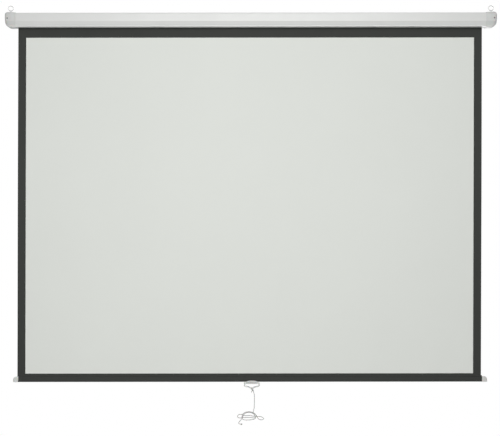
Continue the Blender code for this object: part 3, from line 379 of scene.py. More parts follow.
# The braid's two crossing sets of strands, from u round the cord and v along it.
braid, enter, leave = group("braid", {"Strands": 8.0, "Pitch": 0.0042},
                            {"Height": "Float", "Normal": "Vector"})
uv = node(braid, "UVMap", uv_map="UVMap")
apart = node(braid, "SeparateXYZ", {0: uv.outputs[0]})
round_it = calc(braid, "MULTIPLY", apart.outputs[0], enter.outputs["Strands"])
along_it = calc(braid, "DIVIDE", apart.outputs[1], enter.outputs["Pitch"])
waves = []
for operation in ("ADD", "SUBTRACT"):
    turn = calc(braid, "MULTIPLY", calc(braid, operation, round_it, along_it), math.pi)
    waves.append(calc(braid, "ABSOLUTE", calc(braid, "SINE", turn)))
height = calc(braid, "POWER", calc(braid, "MINIMUM", *waves), 0.6)
bump = node(braid, "Bump", {"Height": height, "Strength": 0.75, "Distance": 0.0004})
braid.links.new(height, leave.inputs["Height"])
braid.links.new(bump.outputs[0], leave.inputs["Normal"])

CORD_COLOUR = (0.60, 0.60, 0.585)
braided_cord, tree, shader = surface("braided_cord", CORD_COLOUR, 0.72, Sheen_Weight=0.25,
                                     Subsurface_Weight=0.12, Subsurface_Scale=0.002)
strands = use(tree, braid)
speckle = node(tree, "TexNoise", {"Scale": 2600.0, "Detail": 2.0})
# Painted shade: the braid's grooves are darkened in colour for the shade between its strands.
painted_groove_shade = ranged(tree, strands.outputs["Height"], 0.62, 1.0)
fuzz = ranged(tree, speckle.outputs[0], 0.94, 1.03)
feed(tree, shader, CORD_COLOUR, calc(tree, "MULTIPLY", painted_groove_shade, fuzz), strands.outputs["Normal"])

line = smooth_line([*placed(DROP_ROUTE), *placed(HANK_ROUTE)], CORD_STEP)
cord_line = piece("pull_cord", tube_mesh(line, CORD / 2, sides=14), "cord", braided_cord,
                  ("cord_drop", "cord_hank"))

KNOT_STEP, KNOT_RADIUS, LEAD_RADIUS = 0.0009, CORD / 2 * 0.97, CORD / 2 * 0.99
HITCH_RADIUS, HITCH_STEPS, HITCH_RIGHT, HITCH_DRIFT = 0.0054, 24, 0.0012, 0.0020
HITCH_FROM, HITCH_SWEEP = -60, 300
HITCH_TAIL = ((-0.0030, -0.0022, -0.0020), (-0.0045, -0.0018, -0.0055), (-0.0064, -0.0006, -0.0098))


def helix(centre, axis, radius, turns, rise, start, steps=10):
    """Points of a coil round an axis, some steps to a turn."""
    axis = axis.normalized()
    side = axis.orthogonal().normalized()
    other = axis.cross(side)
    points = []
    count = round(turns * steps)
    for i in range(count + 1):
        angle = start + 2 * math.pi * turns * i / count
        points.append(centre + axis * rise * (i / count - 0.5)
                      + radius * (side * math.cos(angle) + other * math.sin(angle)))
    return points


def middle_of(solid):
    """The middle of a CAD solid's box."""
    low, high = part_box(solid)
    return (low + high) / 2


# The hitch: one turn round the handle's V, two turns of the cord's own knot under it, and a tail.
hitch = []
for i in range(HITCH_STEPS + 1):
    angle = math.radians(HITCH_FROM + HITCH_SWEEP * i / HITCH_STEPS)
    hitch.append(Vector((HANDLE_X + HITCH_RIGHT - HITCH_DRIFT * i / HITCH_STEPS,
                         SHEET_Y + HITCH_RADIUS * math.sin(angle), TIE_Z - HITCH_RADIUS * math.cos(angle))))
knot_at = Vector((HANDLE_X + 0.0040, SHEET_Y, TIE_Z - 0.0075))
coil = helix(knot_at, Vector((0.8, 0.1, -0.45)), radius=0.0027, turns=1.75, rise=0.0052, start=1.2)
tail = [knot_at + Vector(spot) for spot in HITCH_TAIL]
hitch_line = smooth_line([*hitch[::3], *coil[::2], *tail], KNOT_STEP)
top_knot = piece("cord_hitch", tube_mesh(hitch_line, KNOT_RADIUS), "cord", braided_cord,
                 ("cord_tie",))
lead_line = smooth_line([knot_at + Vector((0.0006, 0.0, 0.0006)), knot_at + Vector((0.0026, 0.0, -0.0018)),
                         line[0] + Vector((0.0, 0.0, 0.0004)), line[2]], 0.0008)
lead = piece("cord_hitch_lead", tube_mesh(lead_line, LEAD_RADIUS), "cord", braided_cord)

# The end knot: an overhand knot drawn up, with a short frayed end past it.
end_at = middle_of("cord_end_knot")
heading = (line[-1] - line[-6]).normalized()
coil = helix(end_at, Vector((heading.x * 0.6, 0.55, heading.z + 0.6)), radius=0.0025, turns=1.6,
             rise=0.0048, start=0.6)
end_line = smooth_line([line[-2], line[-1], *coil[::2], end_at + heading * 0.0028 + Vector((0, 0, 0.0012)),
                        end_at + heading * 0.0052 + Vector((0, 0.0004, 0.0022))], KNOT_STEP)
end_knot = piece("cord_end_knot_tied", tube_mesh(end_line, KNOT_RADIUS), "cord", braided_cord,
                 ("cord_end_knot",))

# Casing: one white powder-coated sheet of 1.2 mm steel, folded to a flat face, a slanting lower
# facet and a lip, and left open below in a slot with turned-up edges for the cloth.

CASE_HEIGHT = casing_high.z - casing_low.z
CASE_WALL = 0.0012
FACE = casing_high.y
LIP_IN, FACET_LOW, FACET_HIGH = 0.011, 0.0575, 0.0385
REAR_IN, REAR_UP = 0.004, 0.006
BEND, TOP_BEND = 0.0022, 0.005
SLOT_HALF, SLOT_EDGE = 0.007, 0.006
SECTION = [
    (LIP_IN - FACE, -CASE_HEIGHT, BEND),
    (LIP_IN - FACE, -FACET_LOW, BEND),
    (-FACE, -FACET_HIGH, BEND),
    (-FACE, 0.0, TOP_BEND),
    (FACE, 0.0, TOP_BEND),
    (FACE, REAR_UP - CASE_HEIGHT, BEND),
    (FACE - REAR_IN, -CASE_HEIGHT, BEND),
]


def fillet(corners, steps=8, hold=0.0004):
    """A path through (y, z, radius) corners, rounded, with a point held close to each arc's ends."""
    path = []
    last = len(corners) - 1
    for i, (y, z, radius) in enumerate(corners):
        here = Vector((y, z))
        if not radius:
            path.append(here)
            continue
        before = Vector(corners[i - 1][:2]) - here
        after = Vector(corners[0 if i == last else i + 1][:2]) - here
        before.normalize()
        after.normalize()
        half = before.angle(after) / 2
        centre = here + (before + after).normalized() * radius / math.sin(half)
        start = here + before * radius / math.tan(half) - centre
        end = here + after * radius / math.tan(half) - centre
        sweep = start.angle_signed(end)
        if hold:
            path.append(centre + start + before * hold)
        for step in range(steps + 1):
            turn = -sweep * step / steps
            cos, sin = math.cos(turn), math.sin(turn)
            path.append(centre + Vector((start.x * cos - start.y * sin, start.x * sin + start.y * cos)))
        if hold:
            path.append(centre + end + after * hold)
    return path


def grow(path, distance, closed=True):
    """The path moved to its left by a distance, with mitred corners."""
    moved = []
    count = len(path)
    for i, point in enumerate(path):
        sides = []
        for a, b in ((i - 1, i), (i, i + 1)):
            if closed or 0 <= a and b < count:
                along = (path[b % count] - path[a % count]).normalized()
                sides.append(Vector((-along.y, along.x)))
        normal = sum(sides, Vector((0, 0))).normalized()
        moved.append(point + normal * distance / normal.dot(sides[0]))
    return moved


def raised(path):
    """A path drawn from the casing's top as zero, at its real height."""
    return [(point[0], point[1] + CASE_TOP) for point in path]


def new_spots(grown):
    """The vertices in what an extrusion gave."""
    return [part for part in grown if isinstance(part, bmesh.types.BMVert)]


def drawn_out(outline, way):
    """A closed bar: a flat outline drawn out along a vector."""
    bm = bmesh.new()
    flat = bm.faces.new([bm.verts.new(point) for point in outline])
    grown = bmesh.ops.extrude_face_region(bm, geom=[flat])["geom"]
    bmesh.ops.translate(bm, verts=new_spots(grown), vec=way)
    return bm


# Fine uneven skin shared by the paints and mouldings: orange peel, faint tone drift and dust.
skin, enter, leave = group("skin", {"Grain": 900.0, "Depth": 0.00004, "Drift": 0.03},
                           {"Tone": "Float", "Gloss": "Float", "Normal": "Vector"})
where = node(skin, "TexCoord").outputs["Object"]
grain = node(skin, "TexNoise", {"Vector": where, "Scale": enter.outputs["Grain"], "Detail": 3.0})
broad = node(skin, "TexNoise", {"Vector": where, "Scale": 5.0, "Detail": 4.0})
patchy = node(skin, "TexNoise", {"Vector": where, "Scale": 45.0, "Detail": 5.0})
low_tone = calc(skin, "SUBTRACT", 1.0, enter.outputs["Drift"])
tone = ranged(skin, broad.outputs[0], low_tone, 1.0, start=0.3, end=0.7)
gloss = ranged(skin, patchy.outputs[0], -0.04, 0.06, start=0.3, end=0.7)
bump = node(skin, "Bump", {"Height": grain.outputs[0], "Strength": 0.6, "Distance": enter.outputs["Depth"]})
skin.links.new(tone, leave.inputs["Tone"])
skin.links.new(gloss, leave.inputs["Gloss"])
skin.links.new(bump.outputs[0], leave.inputs["Normal"])


def skinned(name, colour, roughness, metallic=0.0, grain=900.0, depth=0.00003, drift=0.03, **more):
    """A material whose colour, gloss and normal all carry the shared uneven skin."""
    material, tree, shader = surface(name, colour, roughness, metallic, **more)
    made = use(tree, skin, {"Grain": grain, "Depth": depth, "Drift": drift})
    rough = calc(tree, "ADD", made.outputs["Gloss"], roughness)
    feed(tree, shader, colour, made.outputs["Tone"], made.outputs["Normal"], rough)
    return material


powder_coat = skinned("powder_coat", (0.711, 0.716, 0.706), 0.33, grain=1100.0, drift=0.02,
                      Specular_IOR_Level=0.45, Coat_Weight=0.15, Coat_Roughness=0.32)
slot_front, slot_rear = SHEET_Y - SLOT_HALF, SHEET_Y + SLOT_HALF
outer = fillet([(slot_front, SLOT_EDGE - CASE_HEIGHT, 0), (slot_front, -CASE_HEIGHT, BEND), *SECTION,
                (slot_rear, -CASE_HEIGHT, BEND), (slot_rear, SLOT_EDGE - CASE_HEIGHT, 0)])
inner = grow(outer, -CASE_WALL, closed=False)
bm = drawn_out([(casing_low.x, y, z) for y, z in raised([*outer, *reversed(inner)])],
               (casing_high.x - casing_low.x, 0, 0))
piece("casing_steel", bm, "casing", powder_coat, ("casing_shell",))

# End caps: white moulded covers pushed over the casing's ends. They swell from a thin rim, are
# rounded over at the outer end, and are held by a screw in a well in front and one behind.

cap_low, cap_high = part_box("end_cap_right")
CAP_END, CAP_RIM_X = cap_high.x, cap_low.x
CAP_RIM, RIM_EASE = 0.0018, 0.0004
CAP_PROUD = cap_high.z - CASE_TOP
CAP_PROUD_BELOW = casing_low.z - cap_low.z
SWELL, SWELL_STEPS = 0.024, 12
DOME_SIDE, DOME_TOP, DOME_BOTTOM, DOME_STEPS = 0.010, 0.012, 0.024, 14
HOLLOW_CORNER, HOLLOW_RADIUS = 1, 0.0008
SOCKET_DEEP, SOCKET_PLAY = 0.016, 0.0003
TAB_IN, TAB_HALF_THICK, TAB_HALF_WIDE = 0.022, 0.0016, 0.0048
WELL_RADIUS, WELL_MOUTH, WELL_DEEP = 0.0038, 0.0042, 0.0021
white_moulding = skinned("white_moulding", (0.646, 0.651, 0.642), 0.36, grain=1900.0, drift=0.025,
                         Specular_IOR_Level=0.25, Subsurface_Weight=0.08, Subsurface_Scale=0.002)


def cap_outline(proud, below):
    """The casing's section grown all round, with its one hollow corner drawn in."""
    corners = [(y, z, HOLLOW_RADIUS if i == HOLLOW_CORNER else SECTION[i][2] + proud)
               for i, (y, z) in enumerate(grow([Vector(corner[:2]) for corner in SECTION], proud))]
    return [Vector((y, z - (proud - below) * z / CASE_HEIGHT)) for y, z in fillet(corners)]


def cut(bm, *tools):
    """Cuts tool meshes out of a mesh and gives the result."""
    objects = []
    for mesh_of in (bm, *tools):
        mesh = bpy.data.meshes.new("cutting")
        bmesh.ops.recalc_face_normals(mesh_of, faces=mesh_of.faces)
        mesh_of.to_mesh(mesh)
        mesh_of.free()
        made = bpy.data.objects.new("cutting", mesh)
        bpy.context.scene.collection.objects.link(made)
        objects.append(made)
    for tool in objects[1:]:
        modifier = objects[0].modifiers.new("cut", "BOOLEAN")
        modifier.operation = "DIFFERENCE"
        modifier.solver = "EXACT"
        modifier.object = tool
    done = bmesh.new()
    done.from_object(objects[0], bpy.context.evaluated_depsgraph_get())
    for made in objects:
        bpy.data.objects.remove(made, do_unlink=True)
    return done


def block(low, high):
    """A box between two corners."""
    low, high = Vector(low), Vector(high)
    bm = bmesh.new()
    bmesh.ops.create_cube(bm, size=1)
    bmesh.ops.scale(bm, verts=bm.verts, vec=high - low)
    bmesh.ops.translate(bm, verts=bm.verts, vec=(low + high) / 2)
    return bm


def turned(profile, centre, axis="X", segments=32):
    """(distance, radius) pairs spun round a line through a point along an axis, closed at both ends."""
    half = math.pi / segments
    along, out = {"X": (Vector((1, 0, 0)), Vector((0, math.cos(half), math.sin(half)))),
                  "Y": (Vector((0, 1, 0)), Vector((math.sin(half), 0, math.cos(half))))}[axis]
    bm = bmesh.new()
    spots = [bm.verts.new(Vector(centre) + along * distance + out * radius) for distance, radius in profile]
    edges = [bm.edges.new(pair) for pair in zip(spots, spots[1:])]
    bmesh.ops.spin(bm, geom=[*spots, *edges], cent=centre, axis=along, angle=2 * math.pi, steps=segments,
                   use_merge=True)
    bmesh.ops.holes_fill(bm, edges=[edge for edge in bm.edges if edge.is_boundary])
    return bm


def edge_loop(bm, ring):
    """The edges of a closed loop through points."""
    spots = [bm.verts.new(point) for point in ring]
    return [bm.edges.new(pair) for pair in zip(spots, [*spots[1:], spots[0]])]


def bridged(rings):
    """A closed shell over loops of points, bridged one to the next, with its two ends filled."""
    bm = bmesh.new()
    loops = [edge_loop(bm, ring) for ring in rings]
    for near, far in zip(loops, loops[1:]):
        bmesh.ops.bridge_loops(bm, edges=[*near, *far])
    for end in (loops[0], loops[-1]):
        bmesh.ops.edgeloop_fill(bm, edges=end)
    return bm


def cap_mesh(side, name):
    """A cap with its dome, its socket for the casing, the tab's slot and its two screw wells."""
    rim = cap_outline(CAP_RIM - RIM_EASE, CAP_RIM - RIM_EASE)
    rings = [[(side * CAP_RIM_X, y, z) for y, z in raised(rim)]]
    for step in range(SWELL_STEPS + 1):
        t = step / SWELL_STEPS
        ease = (1 - math.cos(math.pi * t)) / 2
        proud = CAP_RIM + (CAP_PROUD - CAP_RIM) * ease
        below = CAP_RIM + (CAP_PROUD_BELOW - CAP_RIM) * ease
        x = CAP_RIM_X + RIM_EASE + (SWELL - RIM_EASE) * t
        rings.append([(side * x, y, z) for y, z in raised(cap_outline(proud, below))])
    full = cap_outline(CAP_PROUD, CAP_PROUD_BELOW)
    height = CASE_HEIGHT + CAP_PROUD + CAP_PROUD_BELOW
    middle = CAP_PROUD - height * DOME_TOP / (DOME_TOP + DOME_BOTTOM)
    shrink = 1 - (DOME_TOP + DOME_BOTTOM) / height
    for step in range(1, DOME_STEPS + 1):
        turn = math.pi / 2 * step / DOME_STEPS
        ring = []
        for y, z in full:
            target = Vector((y * (1 - DOME_SIDE / (FACE + CAP_PROUD)), middle + (z - middle) * shrink))
            reach = (target - Vector((y, z))).length
            spot = Vector((y, z)).lerp(target, 1 - math.cos(turn))
            ring.append((side * (CAP_END - reach * (1 - math.sin(turn))), spot.x, spot.y + CASE_TOP))
        rings.append(ring)
    bm = bridged(rings)
    flat = max(bm.faces, key=lambda face: side * face.calc_center_median().x)
    grown = bmesh.ops.extrude_face_region(bm, geom=[flat, *flat.edges])["geom"]
    bmesh.ops.scale(bm, verts=new_spots(grown), vec=(1, 0.5, 0.5),
                    space=Matrix.Translation((0, 0, -middle - CASE_TOP)))
    past = 0.002
    around = raised(grow(fillet(SECTION), SOCKET_PLAY))
    socket = drawn_out([(side * (CAP_RIM_X - past), y, z) for y, z in around],
                       (side * (SOCKET_DEEP + past), 0, 0))
    x = side * (CAP_END - TAB_IN)
    slot = block((x - TAB_HALF_THICK, -TAB_HALF_WIDE, CASE_TOP - 0.001),
                 (x + TAB_HALF_THICK, TAB_HALF_WIDE, CASE_TOP + 0.006))
    front = -FACE - CAP_PROUD
    spot = middle_of(f"cap_screw_front_{name}")
    well = turned([(-FACE - 0.006, WELL_MOUTH), (front - 0.0002, WELL_MOUTH), (front + 0.0004, WELL_RADIUS),
                   (front + WELL_DEEP, WELL_RADIUS)], (spot.x, 0, spot.z), "Y")
    spot = middle_of(f"cap_screw_rear_{name}")
    rear_well = turned([(FACE + 0.0005, WELL_RADIUS), (FACE + 0.01, WELL_RADIUS)], (spot.x, 0, spot.z), "Y")
    return cut(bm, socket, slot, well, rear_well)


for side, name in ((-1, "left"), (1, "right")):
    piece(f"cap_{name}", cap_mesh(side, name), "casing", white_moulding, (f"end_cap_{name}",))

# Cap screws: steel pan heads with a cross recess, one in each cap's front well and one behind it.
# They are zinc-plated; the front ones are coloured dark as painted shade of their deep wells.

ZINC = (0.50, 0.51, 0.52)
zinc, tree, shader = surface("zinc_plate", ZINC, 0.34, 1.0)
where = node(tree, "TexCoord").outputs["Object"]
cells = node(tree, "TexVoronoi", {"Vector": where, "Scale": 260.0})
fine = node(tree, "TexNoise", {"Vector": where, "Scale": 1500.0, "Detail": 3.0})
spangle = ranged(tree, cells.outputs["Color"], 0.86, 1.04)
rough = ranged(tree, fine.outputs[0], 0.24, 0.44)
bump = node(tree, "Bump", {"Height": fine.outputs[0], "Strength": 0.25, "Distance": 0.00003})
feed(tree, shader, ZINC, spangle, bump.outputs[0], rough)
# Painted shade: the front screws' zinc is coloured dark to stand for the shade deep in their wells.
painted_shade_zinc = skinned("painted_shade_zinc", (0.16, 0.16, 0.165), 0.34, 1.0, grain=1200.0, drift=0.2)
CAP_HEAD, CAP_HEAD_THICK = 0.0032, 0.0015
RECESS_DEEP = 0.0008


def screw_mesh(solid, face, head_radius, head_thick, dome_steps=6):
    """A pan-head screw along Y, in place of a CAD one. face is the side that its head is on."""
    low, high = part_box(solid)
    middle = (low + high) / 2
    length = high.y - low.y
    seat = length - head_thick
    shank, point = head_radius * 0.45, head_radius * 0.2
    profile = [(0.0, point), (0.0008, shank), (seat, shank), (seat, head_radius)]
    for step in range(1, dome_steps + 1):
        turn = math.pi / 2 * step / dome_steps
        profile.append((seat + head_thick * math.sin(turn), head_radius * (0.42 + 0.58 * math.cos(turn))))
    start = low.y if face > 0 else high.y
    bm = turned([(start + face * d, r) for d, r in profile], (middle.x, 0, middle.z), "Y")
    top = start + face * length
    near, far = sorted((top - face * RECESS_DEEP, top + face * 0.001))
    blades = []
    for wide, tall in ((0.55, 0.16), (0.16, 0.55)):
        x, z = head_radius * wide, head_radius * tall
        blades.append(block((middle.x - x, near, middle.z - z), (middle.x + x, far, middle.z + z)))
    return cut(bm, *blades)


for name in ("left", "right"):
    for place, face, plating_and_painted_shade in (("front", -1, painted_shade_zinc), ("rear", 1, zinc)):
        solid = f"cap_screw_{place}_{name}"
        piece(f"{place}_screw_{name}", screw_mesh(solid, face, CAP_HEAD, CAP_HEAD_THICK), "casing", plating_and_painted_shade,
              (solid,))

# Hanger plates: pressed zinc-plated steel inside the caps. Each carries the roller's end, is
# screwed to the casing and the cap, and ends above the cap in a tab with the ring's hole.


def as_built(name, solid, body, material):
    """A CAD solid's own shape as a shown piece, merged and smooth across its round faces."""
    bm = bmesh.new()
    mesh = frame["nodes"][solid].data
    spots = [bm.verts.new(vertex.co) for vertex in mesh.vertices]
    for polygon in mesh.polygons:
        bm.faces.new([spots[i] for i in polygon.vertices])
    bmesh.ops.remove_doubles(bm, verts=bm.verts, dist=1e-6)
    return piece(name, bm, body, material, (solid,), sharp_over=35)


for name in ("left", "right"):
    as_built(f"pressed_plate_{name}", f"hanger_plate_{name}", "casing", zinc)

# Hanging rings: nickel-plated wire bent round and butt-welded, so that each has a slight swelling
# at its top. They hang loose in the tabs.

NICKEL = (0.47, 0.47, 0.46)
nickel, tree, shader = surface("nickel_wire", NICKEL, 0.24, 1.0)
where = node(tree, "TexCoord").outputs["Object"]
rub = node(tree, "TexNoise", {"Vector": where, "Scale": 420.0, "Detail": 5.0, "Distortion": 0.6})
tone = ranged(tree, rub.outputs[0], 0.88, 1.05, start=0.35, end=0.7)
rough = ranged(tree, rub.outputs[0], 0.16, 0.36)
bump = node(tree, "Bump", {"Height": rub.outputs[0], "Strength": 0.12, "Distance": 0.00002})
feed(tree, shader, NICKEL, tone, bump.outputs[0], rough)
RING_WIRE = 0.0015
WELD_SWELL, WELD_LONG = 0.107, 0.0012
for name in ("left", "right"):
    low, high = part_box(f"hanging_ring_{name}")
    middle = (low + high) / 2
    radius = (high.x - low.x) / 2 - RING_WIRE
    bm = bmesh.new()
    bmesh.ops.create_circle(bm, segments=16, radius=RING_WIRE,
                            matrix=Matrix.Translation(middle + Vector((radius, 0, 0))))
    bmesh.ops.spin(bm, geom=[*bm.verts, *bm.edges], cent=middle, axis=(0, 1, 0), angle=2 * math.pi, steps=96,
                   use_merge=True)
    for spot in bm.verts:
        from_middle = spot.co - middle
        core = middle + Vector((from_middle.x, 0, from_middle.z)).normalized() * radius
        from_weld = radius * math.atan2(from_middle.x, from_middle.z)
        swell = 1 + WELD_SWELL * math.exp(-(from_weld / WELD_LONG) ** 2)
        spot.co = core + (spot.co - core) * swell
    piece(f"wire_ring_{name}", bm, f"ring_{name}", nickel, (f"hanging_ring_{name}",))

# Roller, idle end, spring and ratchet: hidden in the casing. A zinc-plated tube on black nylon
# plugs, a fixed steel shaft, an oiled torsion spring, and two pawls round a notched collar.

black_nylon = skinned("black_nylon", (0.028, 0.028, 0.030), 0.48, grain=1500.0, drift=0.15)
bush_nylon = skinned("bush_nylon", (0.78, 0.76, 0.70), 0.42, grain=1500.0, depth=0.00002, drift=0.04,
                     Subsurface_Weight=0.2, Subsurface_Scale=0.002)
spring_wire = skinned("spring_wire", (0.20, 0.20, 0.21), 0.32, 1.0, grain=700.0, drift=0.25)
as_built("steel_tube", "roller_tube", "roller", zinc)
as_built("idle_end_plug", "idle_plug", "roller", black_nylon)
as_built("spring_end_plug", "spring_plug", "roller", black_nylon)
as_built("idle_stub", "idle_pin", "roller", zinc)
as_built("nylon_bush", "idle_bush", "casing", bush_nylon)
as_built("fixed_shaft", "spring_shaft", "casing", zinc)
as_built("wound_spring", "torsion_spring", "casing", spring_wire)
as_built("notched_collar", "ratchet_collar", "casing", zinc)
for name in ("a", "b"):
    as_built(f"pawl_stud_{name}", f"pawl_pin_{name}", "roller", zinc)
    as_built(f"pawl_lever_{name}", f"pawl_{name}", f"pawl_{name}", zinc)

# Screen cloth: woven glass-fibre cloth coated matte black, hung from the roller, with a matte
# white image coating on its front. Its free side edges curl towards the room by a few millimetres.

white_low, white_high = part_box("white_face")
CLOTH = sheet_high.y - sheet_low.y
COATING_UNDER, COATING_OVER = 0.00002, 0.0003
SHEET_TOP, SHEET_BOTTOM = sheet_high.z, sheet_low.z
CURL_LEFT, CURL_RIGHT, CURL_WIDTH = 0.0042, 0.0030, 0.085
BROAD_WAVE, SLANT_WAVE = 0.00035, 0.00022
ASKEW_TOP, ASKEW = 0.0016, 0.0058


def cloth_offset(x, z):
    """How far the cloth stands off its plane: edge curl and faint broad waves."""
    t = (SHEET_TOP - z) / (SHEET_TOP - SHEET_BOTTOM)
    belly = math.sin(math.pi * min(max(t, 0), 1)) ** 2
    left = max(0.0, 1 - (x - sheet_low.x) / CURL_WIDTH)
    right = max(0.0, 1 - (sheet_high.x - x) / CURL_WIDTH)
    curl = CURL_LEFT * left**2 + CURL_RIGHT * right**2
    wave = (BROAD_WAVE * math.sin(3.1 * x + 1.3) * math.sin(4.4 * z + 0.6)
            + SLANT_WAVE * math.sin(9.0 * x + 5.0 * z))
    return -belly * (curl + wave)


def cloth_lean(z):
    """How far the cloth hangs to the side at a height, as it is rolled a little askew."""
    return ASKEW_TOP - ASKEW * (SHEET_TOP - z) / (SHEET_TOP - SHEET_BOTTOM)


def flat_map(bm, spread):
    """Gives a mesh its UV map, in metres, from where each of its corners is."""
    uv = bm.loops.layers.uv.new("UVMap")
    for face in bm.faces:
        for loop in face.loops:
            loop[uv].uv = spread(loop.vert.co)


def cloth_mesh(low, high, front, back, columns, rows):
    """A thin sheet with its front and back at fixed depths from the cloth's waving plane."""
    bm = bmesh.new()
    bmesh.ops.create_grid(bm, x_segments=columns, y_segments=rows, size=0.5)
    behind = set(new_spots(bmesh.ops.extrude_face_region(bm, geom=bm.faces[:])["geom"]))
    for spot in bm.verts:
        x = low.x + (high.x - low.x) * (spot.co.x + 0.5)
        z = low.z + (high.z - low.z) * (spot.co.y + 0.5)
        depth = back if spot in behind else front
        spot.co = (x + cloth_lean(z), SHEET_Y + depth + cloth_offset(x, z), z)
    flat_map(bm, lambda spot: (spot.x, spot.z))
    return bm


# Plain weave under the coatings, from metres across and down the cloth.
weave, enter, leave = group("weave", {"Threads": 1400.0, "Depth": 0.00006},
                            {"Height": "Float", "Normal": "Vector"})
uv = node(weave, "UVMap", uv_map="UVMap")
apart = node(weave, "SeparateXYZ", {0: uv.outputs[0]})
threads = []
for index in (0, 1):
    count = calc(weave, "MULTIPLY", apart.outputs[index], enter.outputs["Threads"])
    threads.append(calc(weave, "SINE", calc(weave, "MULTIPLY", count, math.pi)))
fray = node(weave, "TexNoise", {"Vector": uv.outputs[0], "Scale": 700.0, "Detail": 2.0})
height = calc(weave, "ADD", calc(weave, "MULTIPLY", *threads), fray.outputs[0])
bump = node(weave, "Bump", {"Height": height, "Strength": 0.5, "Distance": enter.outputs["Depth"]})
weave.links.new(height, leave.inputs["Height"])
weave.links.new(bump.outputs[0], leave.inputs["Normal"])


def cloth_material(name, colour, roughness, depth, mottle, **more):
    """A coated cloth: its weave shows through, and its tone drifts by a mottle."""
    material, tree, shader = surface(name, colour, roughness, **more)
    made = use(tree, weave, {"Depth": depth})
    where = node(tree, "TexCoord").outputs["Object"]
    broad = node(tree, "TexNoise", {"Vector": where, "Scale": 2.2, "Detail": 5.0})
    tone = ranged(tree, broad.outputs[0], 1 - mottle, 1.0, start=0.3, end=0.7)
    rough = ranged(tree, made.outputs["Height"], roughness - 0.06, roughness + 0.06, start=-1.0, end=2.0)
    feed(tree, shader, colour, tone, made.outputs["Normal"], rough)
    return material


coated_cloth = cloth_material("coated_cloth", (0.025, 0.0275, 0.0245), 0.66, depth=0.00005, mottle=0.10,
                              Specular_IOR_Level=0.32)
matte_coating = cloth_material("matte_coating", (0.785, 0.805, 0.767), 0.88, depth=0.00002, mottle=0.012)
bm = cloth_mesh(sheet_low, sheet_high, -CLOTH / 2, CLOTH / 2, columns=132, rows=96)
cloth = piece("screen_cloth", bm, "casing", coated_cloth, ("black_backing",))
bm = cloth_mesh(white_low, white_high, -CLOTH / 2 - COATING_OVER, -CLOTH / 2 - COATING_UNDER,
                columns=128, rows=92)
coating = piece("image_coating", bm, "casing", matte_coating, ("white_face",))

# The last turns of cloth lie on the roller as a spiral.
wraps_low, wraps_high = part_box("fabric_wraps")
AXIS_Z = (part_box("roller_tube")[0].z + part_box("roller_tube")[1].z) / 2
ROLL_RADIUS = sheet_low.y
ROLL_TURNS, ROLL_PITCH, ROLL_STEPS = 2, 0.00075, 64
turns = [(2 * math.pi * i / ROLL_STEPS, ROLL_RADIUS - ROLL_PITCH * i / ROLL_STEPS)
         for i in range(ROLL_STEPS * ROLL_TURNS + 1)]
spiral = [((r + CLOTH) * math.cos(t), (r + CLOTH) * math.sin(t)) for t, r in turns]
spiral += [(r * math.cos(t), r * math.sin(t)) for t, r in reversed(turns)]
bm = drawn_out([(wraps_low.x, y, z + AXIS_Z) for y, z in spiral], (wraps_high.x - wraps_low.x, 0, 0))
flat_map(bm, lambda spot: (spot.x, math.atan2(spot.z - AXIS_Z, spot.y) * ROLL_RADIUS))
piece("cloth_on_roller", bm, "roller", coated_cloth, ("fabric_wraps",))

slide = next(joint for joint in frame["joints"] if joint["name"] == "screen_slide")
KEEP = 1 - slide["range_m"][1] / (SHEET_TOP - SHEET_BOTTOM)
for part, keep in ((cloth, KEEP), (coating, 0.55 * KEEP)):
    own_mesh(part)

# Hem: the cloth is turned up round a flat steel bar and welded to itself in a line above it.
# The bar's ends are closed by pale plastic plugs with one rounded corner.

pocket_low, pocket_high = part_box("hem_pocket")
BAR_Z = (pocket_low.z + pocket_high.z) / 2
HEM_HALF_Y = (pocket_high.y - pocket_low.y) / 2
HEM_HALF_Z = (pocket_high.z - pocket_low.z) / 2
HEM_CLOTH, HEM_STEPS = 0.0005, 64
HEM_TOP_BEND, HEM_LOW_BEND = 0.0036, 0.0033
PUCKER = 0.00010
path = fillet([(-HEM_HALF_Y, -HEM_HALF_Z, HEM_LOW_BEND), (-HEM_HALF_Y, HEM_HALF_Z, HEM_TOP_BEND),
               (HEM_HALF_Y, HEM_HALF_Z, HEM_TOP_BEND), (HEM_HALF_Y, -HEM_HALF_Z, HEM_LOW_BEND)], 7, hold=0)
bm = bmesh.new()
loops = [edge_loop(bm, [(pocket_low.x, SHEET_Y + y, BAR_Z + z) for y, z in around])
         for around in (path, grow(path, -HEM_CLOTH))]
rim = bmesh.ops.bridge_loops(bm, edges=[*loops[0], *loops[1]])["faces"]
for step in range(HEM_STEPS):
    edges = list(dict.fromkeys(edge for face in rim for edge in face.edges))
    grown = bmesh.ops.extrude_face_region(bm, geom=[*rim, *edges])["geom"]
    rim = [part for part in grown if isinstance(part, bmesh.types.BMFace)]
    bmesh.ops.translate(bm, verts=new_spots(grown), vec=((pocket_high.x - pocket_low.x) / HEM_STEPS, 0, 0))
for spot in bm.verts:
    out = spot.co.y - SHEET_Y
    if abs(out) > HEM_HALF_Y * 0.9:
        pucker = PUCKER * math.sin(37.0 * spot.co.x) * math.sin(11.0 * spot.co.x + 0.7)
        spot.co.y += math.copysign(pucker, out)
flat_map(bm, lambda spot: (spot.x, spot.z + spot.y))
piece("hem_sleeve", bm, "bar", coated_cloth, ("hem_pocket",), sharp_over=50)

SEAM_DOWN, SEAM_UP, SEAM_PROUD, SEAM_EDGE = 0.0012, 0.0050, 0.0005, 0.0003
seam = block((pocket_low.x, SHEET_Y - CLOTH / 2 - SEAM_PROUD, pocket_high.z - SEAM_DOWN),
             (pocket_high.x, SHEET_Y + CLOTH / 2 + SEAM_PROUD, pocket_high.z + SEAM_UP))
flat_map(seam, lambda spot: (spot.x, spot.z))
edges = [edge for edge in seam.edges if abs(edge.verts[0].co.x - edge.verts[1].co.x) > 1]
bmesh.ops.bevel(seam, geom=edges, offset=SEAM_EDGE, segments=2, affect="EDGES", profile=0.5, material=-1)
piece("hem_weld", seam, "bar", coated_cloth)

